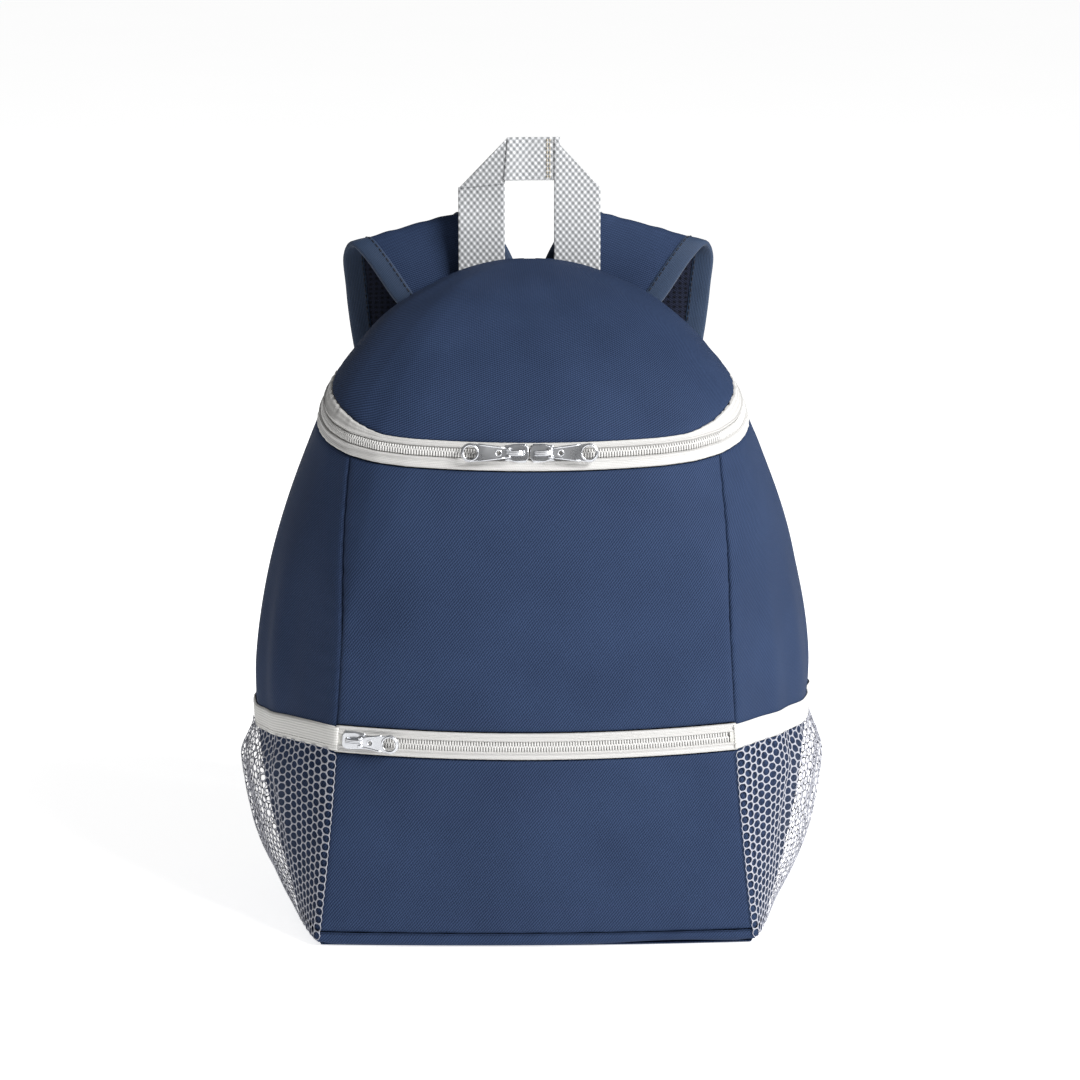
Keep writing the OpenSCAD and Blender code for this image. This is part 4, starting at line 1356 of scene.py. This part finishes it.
def lower_webbing(name, side):
    """Webbing from the base corner, round the lock's middle bar, and its free end."""
    front, back = LOCK_Y - BAR_R, LOCK_Y + BAR_R
    low_bar, middle_bar = LOCK_Z - 2 * BAR_GAP, LOCK_Z - BAR_GAP
    tab = box_mm(f"webbing_tab_{name}")[1].y
    route = np.array([
        [96, tab - 1.6, 10], [96, tab - 0.6, 24],
        [89.5, 94, 45], [81.5, front + 1, 66],
        [LOCK_X, front, low_bar], [LOCK_X, front, middle_bar],
        [LOCK_X, LOCK_Y, middle_bar + BAR_R],
        [LOCK_X, back, middle_bar], [LOCK_X, back + 0.3, low_bar],
        [LOCK_X + 0.6, back - 0.6, 62], [LOCK_X + 1.6, back - 3.4, 34],
    ], float)
    path = curve(route, np.linspace(0, len(route) - 1, 150))
    hem = path[-HEM_POINTS:] + (0, 1.3, 0)
    shape = joined([mirror(ribbon(line, STRAP_WEB - 1, LOWER_T), side) for line in (path, hem)])
    piece = make(f"strap_webbing_{name}", shape, DARK_WEBBING, None, "navy_webbing")
    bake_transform(piece)
    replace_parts(piece, f"lower_webbing_{name}")


def lock_loop(name, side):
    """The short webbing that holds the ladder lock's top bar in the strap's end."""
    turn = np.radians(np.linspace(180, 360, 14))
    bend = points(LOCK_X, LOCK_Y + BAR_R * np.cos(turn), LOCK_Z + BAR_R * np.sin(turn))
    ends = [[[LOCK_X, LOCK_Y + face * BAR_R, LOCK_Z + LOOP_RISE]] for face in (-1, 1)]
    path = np.concatenate([ends[0], bend, ends[1]])
    shape = mirror(ribbon(path, STRAP_WEB - 0.5, LOOP_T), side)
    make(f"lock_loop_{name}", shape, DARK_WEBBING, f"strap_{name}", "navy_webbing", f"strap_loop_{name}")


def rounded_box(half, low, high, radius):
    """A closed outline with rounded corners, as wide as half on either side."""
    x, z0, z1 = half - radius, low + radius, high - radius
    corners = ((x, z1), (-x, z1), (-x, z0), (x, z0))
    arcs = [arc(centre, radius, 90 * k, 90 * k + 90, 6) for k, centre in enumerate(corners)]
    return np.concatenate(arcs)


def ladder_lock(name, side):
    """A moulded frame with two windows, and a lip to lift it by."""
    half, bar = (STRAP_WEB + 1.6) / 2, 1.7
    centre = np.array([side * LOCK_X, LOCK_Y, LOCK_Z])
    windows = [rounded_box(half, bar - (k + 1) * BAR_GAP, -k * BAR_GAP - bar, 1.0)[::-1] for k in (0, 1)]
    plate, faces = outline([rounded_box(half + 3, -2 * BAR_GAP - 2.5, 2.4, 2.2), *windows], 3.8, 1.1)
    shapes = [(plate[:, [0, 2, 1]] * (1, -1, 1) + centre, faces)]
    x = np.linspace(-half - 1.6, half + 1.6, 20)
    lip = points(x, 1.6 + 1.2 * (1 - (x / half) ** 2), -2 * BAR_GAP - 2.0)
    shapes.append(tube(lip + centre, 1.3, 10, facing=(0, 1, 0)))
    for rib_z in (-BAR_GAP - 0.6, -BAR_GAP + 0.6):
        rib = points(np.linspace(-half + 2, half - 2, 6), 1.75, rib_z)
        shapes.append(tube(rib + centre, 0.4, 6, facing=(0, 1, 0)))
    body = f"ladder_lock_{name}"
    make(f"{body}_moulding", joined(shapes), PLASTIC, body, "dark_plastic", body)


for name, side in SIDES:
    lower_webbing(name, side)
    lock_loop(name, side)
    ladder_lock(name, side)


# --- Inside the bag -----------------------------------------------------------------------------

LINING_T, SHEET_STEP = 0.7, 4.0


def inner_sheet(name, place_uv, depth, thickness, size, look, slot, body, node):
    """A sheet of lining or foam that follows the bag's cloth at a depth behind it."""
    a, b = np.meshgrid(steps(size[0], SHEET_STEP), steps(size[1], SHEET_STEP))
    u, v = place_uv(a, b)
    fall = depth(u) + 0.2 * ripple(a * size[0] + 0.5 * b * size[1], 37, 1.1)
    make(name, shell(skin(u, v, -fall), skin(u, v, -fall - thickness)), look, body, slot, node)


def bag_lining_depth(u):
    """The lining passes behind the front pocket's wall, and close to the gussets."""
    return LINING_IN + (POCKET_DEPTH + 2.4 - LINING_IN) * clamp((1.2 - abs(u)) / 0.2)


def even_depth(depth):
    return lambda u: depth + 0 * u


def back_inside():
    """Foam in a quilted cover against the inside of the back."""
    x, z, away = arch_grid(9, 6)
    full = back_height(z, away)
    foam_low, foam_high = box_mm("back_foam")
    inner_y = foam_low.y + 1.4 - 1.2 * full + 0.2 * ripple(x, 43) * full
    shape = shell(points(x, foam_high.y, z), points(x, inner_y, z))
    piece = make("back_foam_cover", shape, LINING, "bag", "lining")
    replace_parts(piece, "back_foam")


inner_sheet("bag_lining", between(-1.9, 1.9, 0.026, 0.962), bag_lining_depth, LINING_T,
            (450, 240), LINING, "lining", "bag", "lining")
inner_sheet("lid_inside", lid_uv(0.11), even_depth(LINING_IN + 0.4), LINING_T,
            (400, 140), LINING, "lining", "lid", "lid_lining")
inner_sheet("lid_foam_sheet", lid_uv(0.11), even_depth(FOAM_IN), FOAM_T,
            (400, 140), FOAM, "foam", "lid", "lid_foam")
for name, side in SIDES:
    foam_uv = side_panel(side, 1.09, 1.95, RIM_V, WALL_TOP)
    inner_sheet(f"side_foam_{name}_sheet", foam_uv, even_depth(FOAM_IN), FOAM_T,
                (140, 230), FOAM, "foam", "bag", f"side_foam_{name}")
back_inside()

for node, look in (("base_board", BOARD), ("pocket_inner_wall", LINING)):
    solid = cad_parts[node]
    solid.data.materials.clear()
    solid.data.materials.append(look)


# --- Camera, light and floor --------------------------------------------------------------------

TARGET_M = Vector((0, 0, 0.190))
CAMERA_AZIMUTH, CAMERA_ELEVATION = math.radians(-1.3), math.radians(12)
CAMERA_DISTANCE_M = 2.0
LENS, SENSOR_W, SHIFT_X = 131.2, 36.0, 0.0065
FLOOR_M, FLOOR_GLOW, ROOM_GLOW = 14.0, 0.78, 0.2

# Name, place and size in metres, and power in watts: a soft key and a weak light from behind
SOFTBOXES = (
    ("key", (1.12, -0.95, 1.25), 0.8, 64),
    ("rim", (-1.4, 1.3, 1.2), 1.2, 3),
)


def stand(name, data, place_m):
    """Puts a camera or a light at a place, looking at the target."""
    thing = bpy.data.objects.new(name, data)
    thing.location = place_m
    thing.rotation_euler = (TARGET_M - thing.location).to_track_quat("-Z", "Y").to_euler()
    bpy.context.scene.collection.objects.link(thing)
    return thing


def camera():
    lens = bpy.data.cameras.new("camera")
    lens.lens, lens.sensor_width, lens.shift_x = LENS, SENSOR_W, SHIFT_X
    flat = math.cos(CAMERA_ELEVATION)
    x, y = math.sin(CAMERA_AZIMUTH) * flat, -math.cos(CAMERA_AZIMUTH) * flat
    away = Vector((x, y, math.sin(CAMERA_ELEVATION)))
    bpy.context.scene.camera = stand("camera", lens, TARGET_M + away * CAMERA_DISTANCE_M)


def softboxes():
    for name, place_m, size_m, watts in SOFTBOXES:
        light = bpy.data.lights.new(name, "AREA")
        light.shape, light.size, light.energy = "SQUARE", size_m, watts
        stand(name, light, place_m)


def floor():
    """A white floor that glows a little, as a light table does."""
    look = Look("floor", roughness=0.9, specular=0.2)
    colour = look.mix(look.noise(3, 2), rgb(240, 240, 240), rgb(246, 246, 246))
    look.set(look.surface, "Base Color", colour)
    look.set(look.surface, "Emission Color", (1, 1, 1, 1))
    look.set(look.surface, "Emission Strength", FLOOR_GLOW)
    size = FLOOR_M / MM
    verts = points([-size, size, size, -size], [-size, -size, size, size], -0.2)
    make("floor", (verts, [[0, 1, 2, 3]]), look.material, None, "")


def room():
    """A pale room, and plain display colours."""
    world = bpy.data.worlds.new("studio")
    bpy.context.scene.world = world
    world.use_nodes = True
    glow = world.node_tree.nodes["Background"]
    glow.inputs["Color"].default_value = (1, 1, 1, 1)
    glow.inputs["Strength"].default_value = ROOM_GLOW
    bpy.context.scene.view_settings.view_transform = "Standard"


camera()
floor()
softboxes()
room()
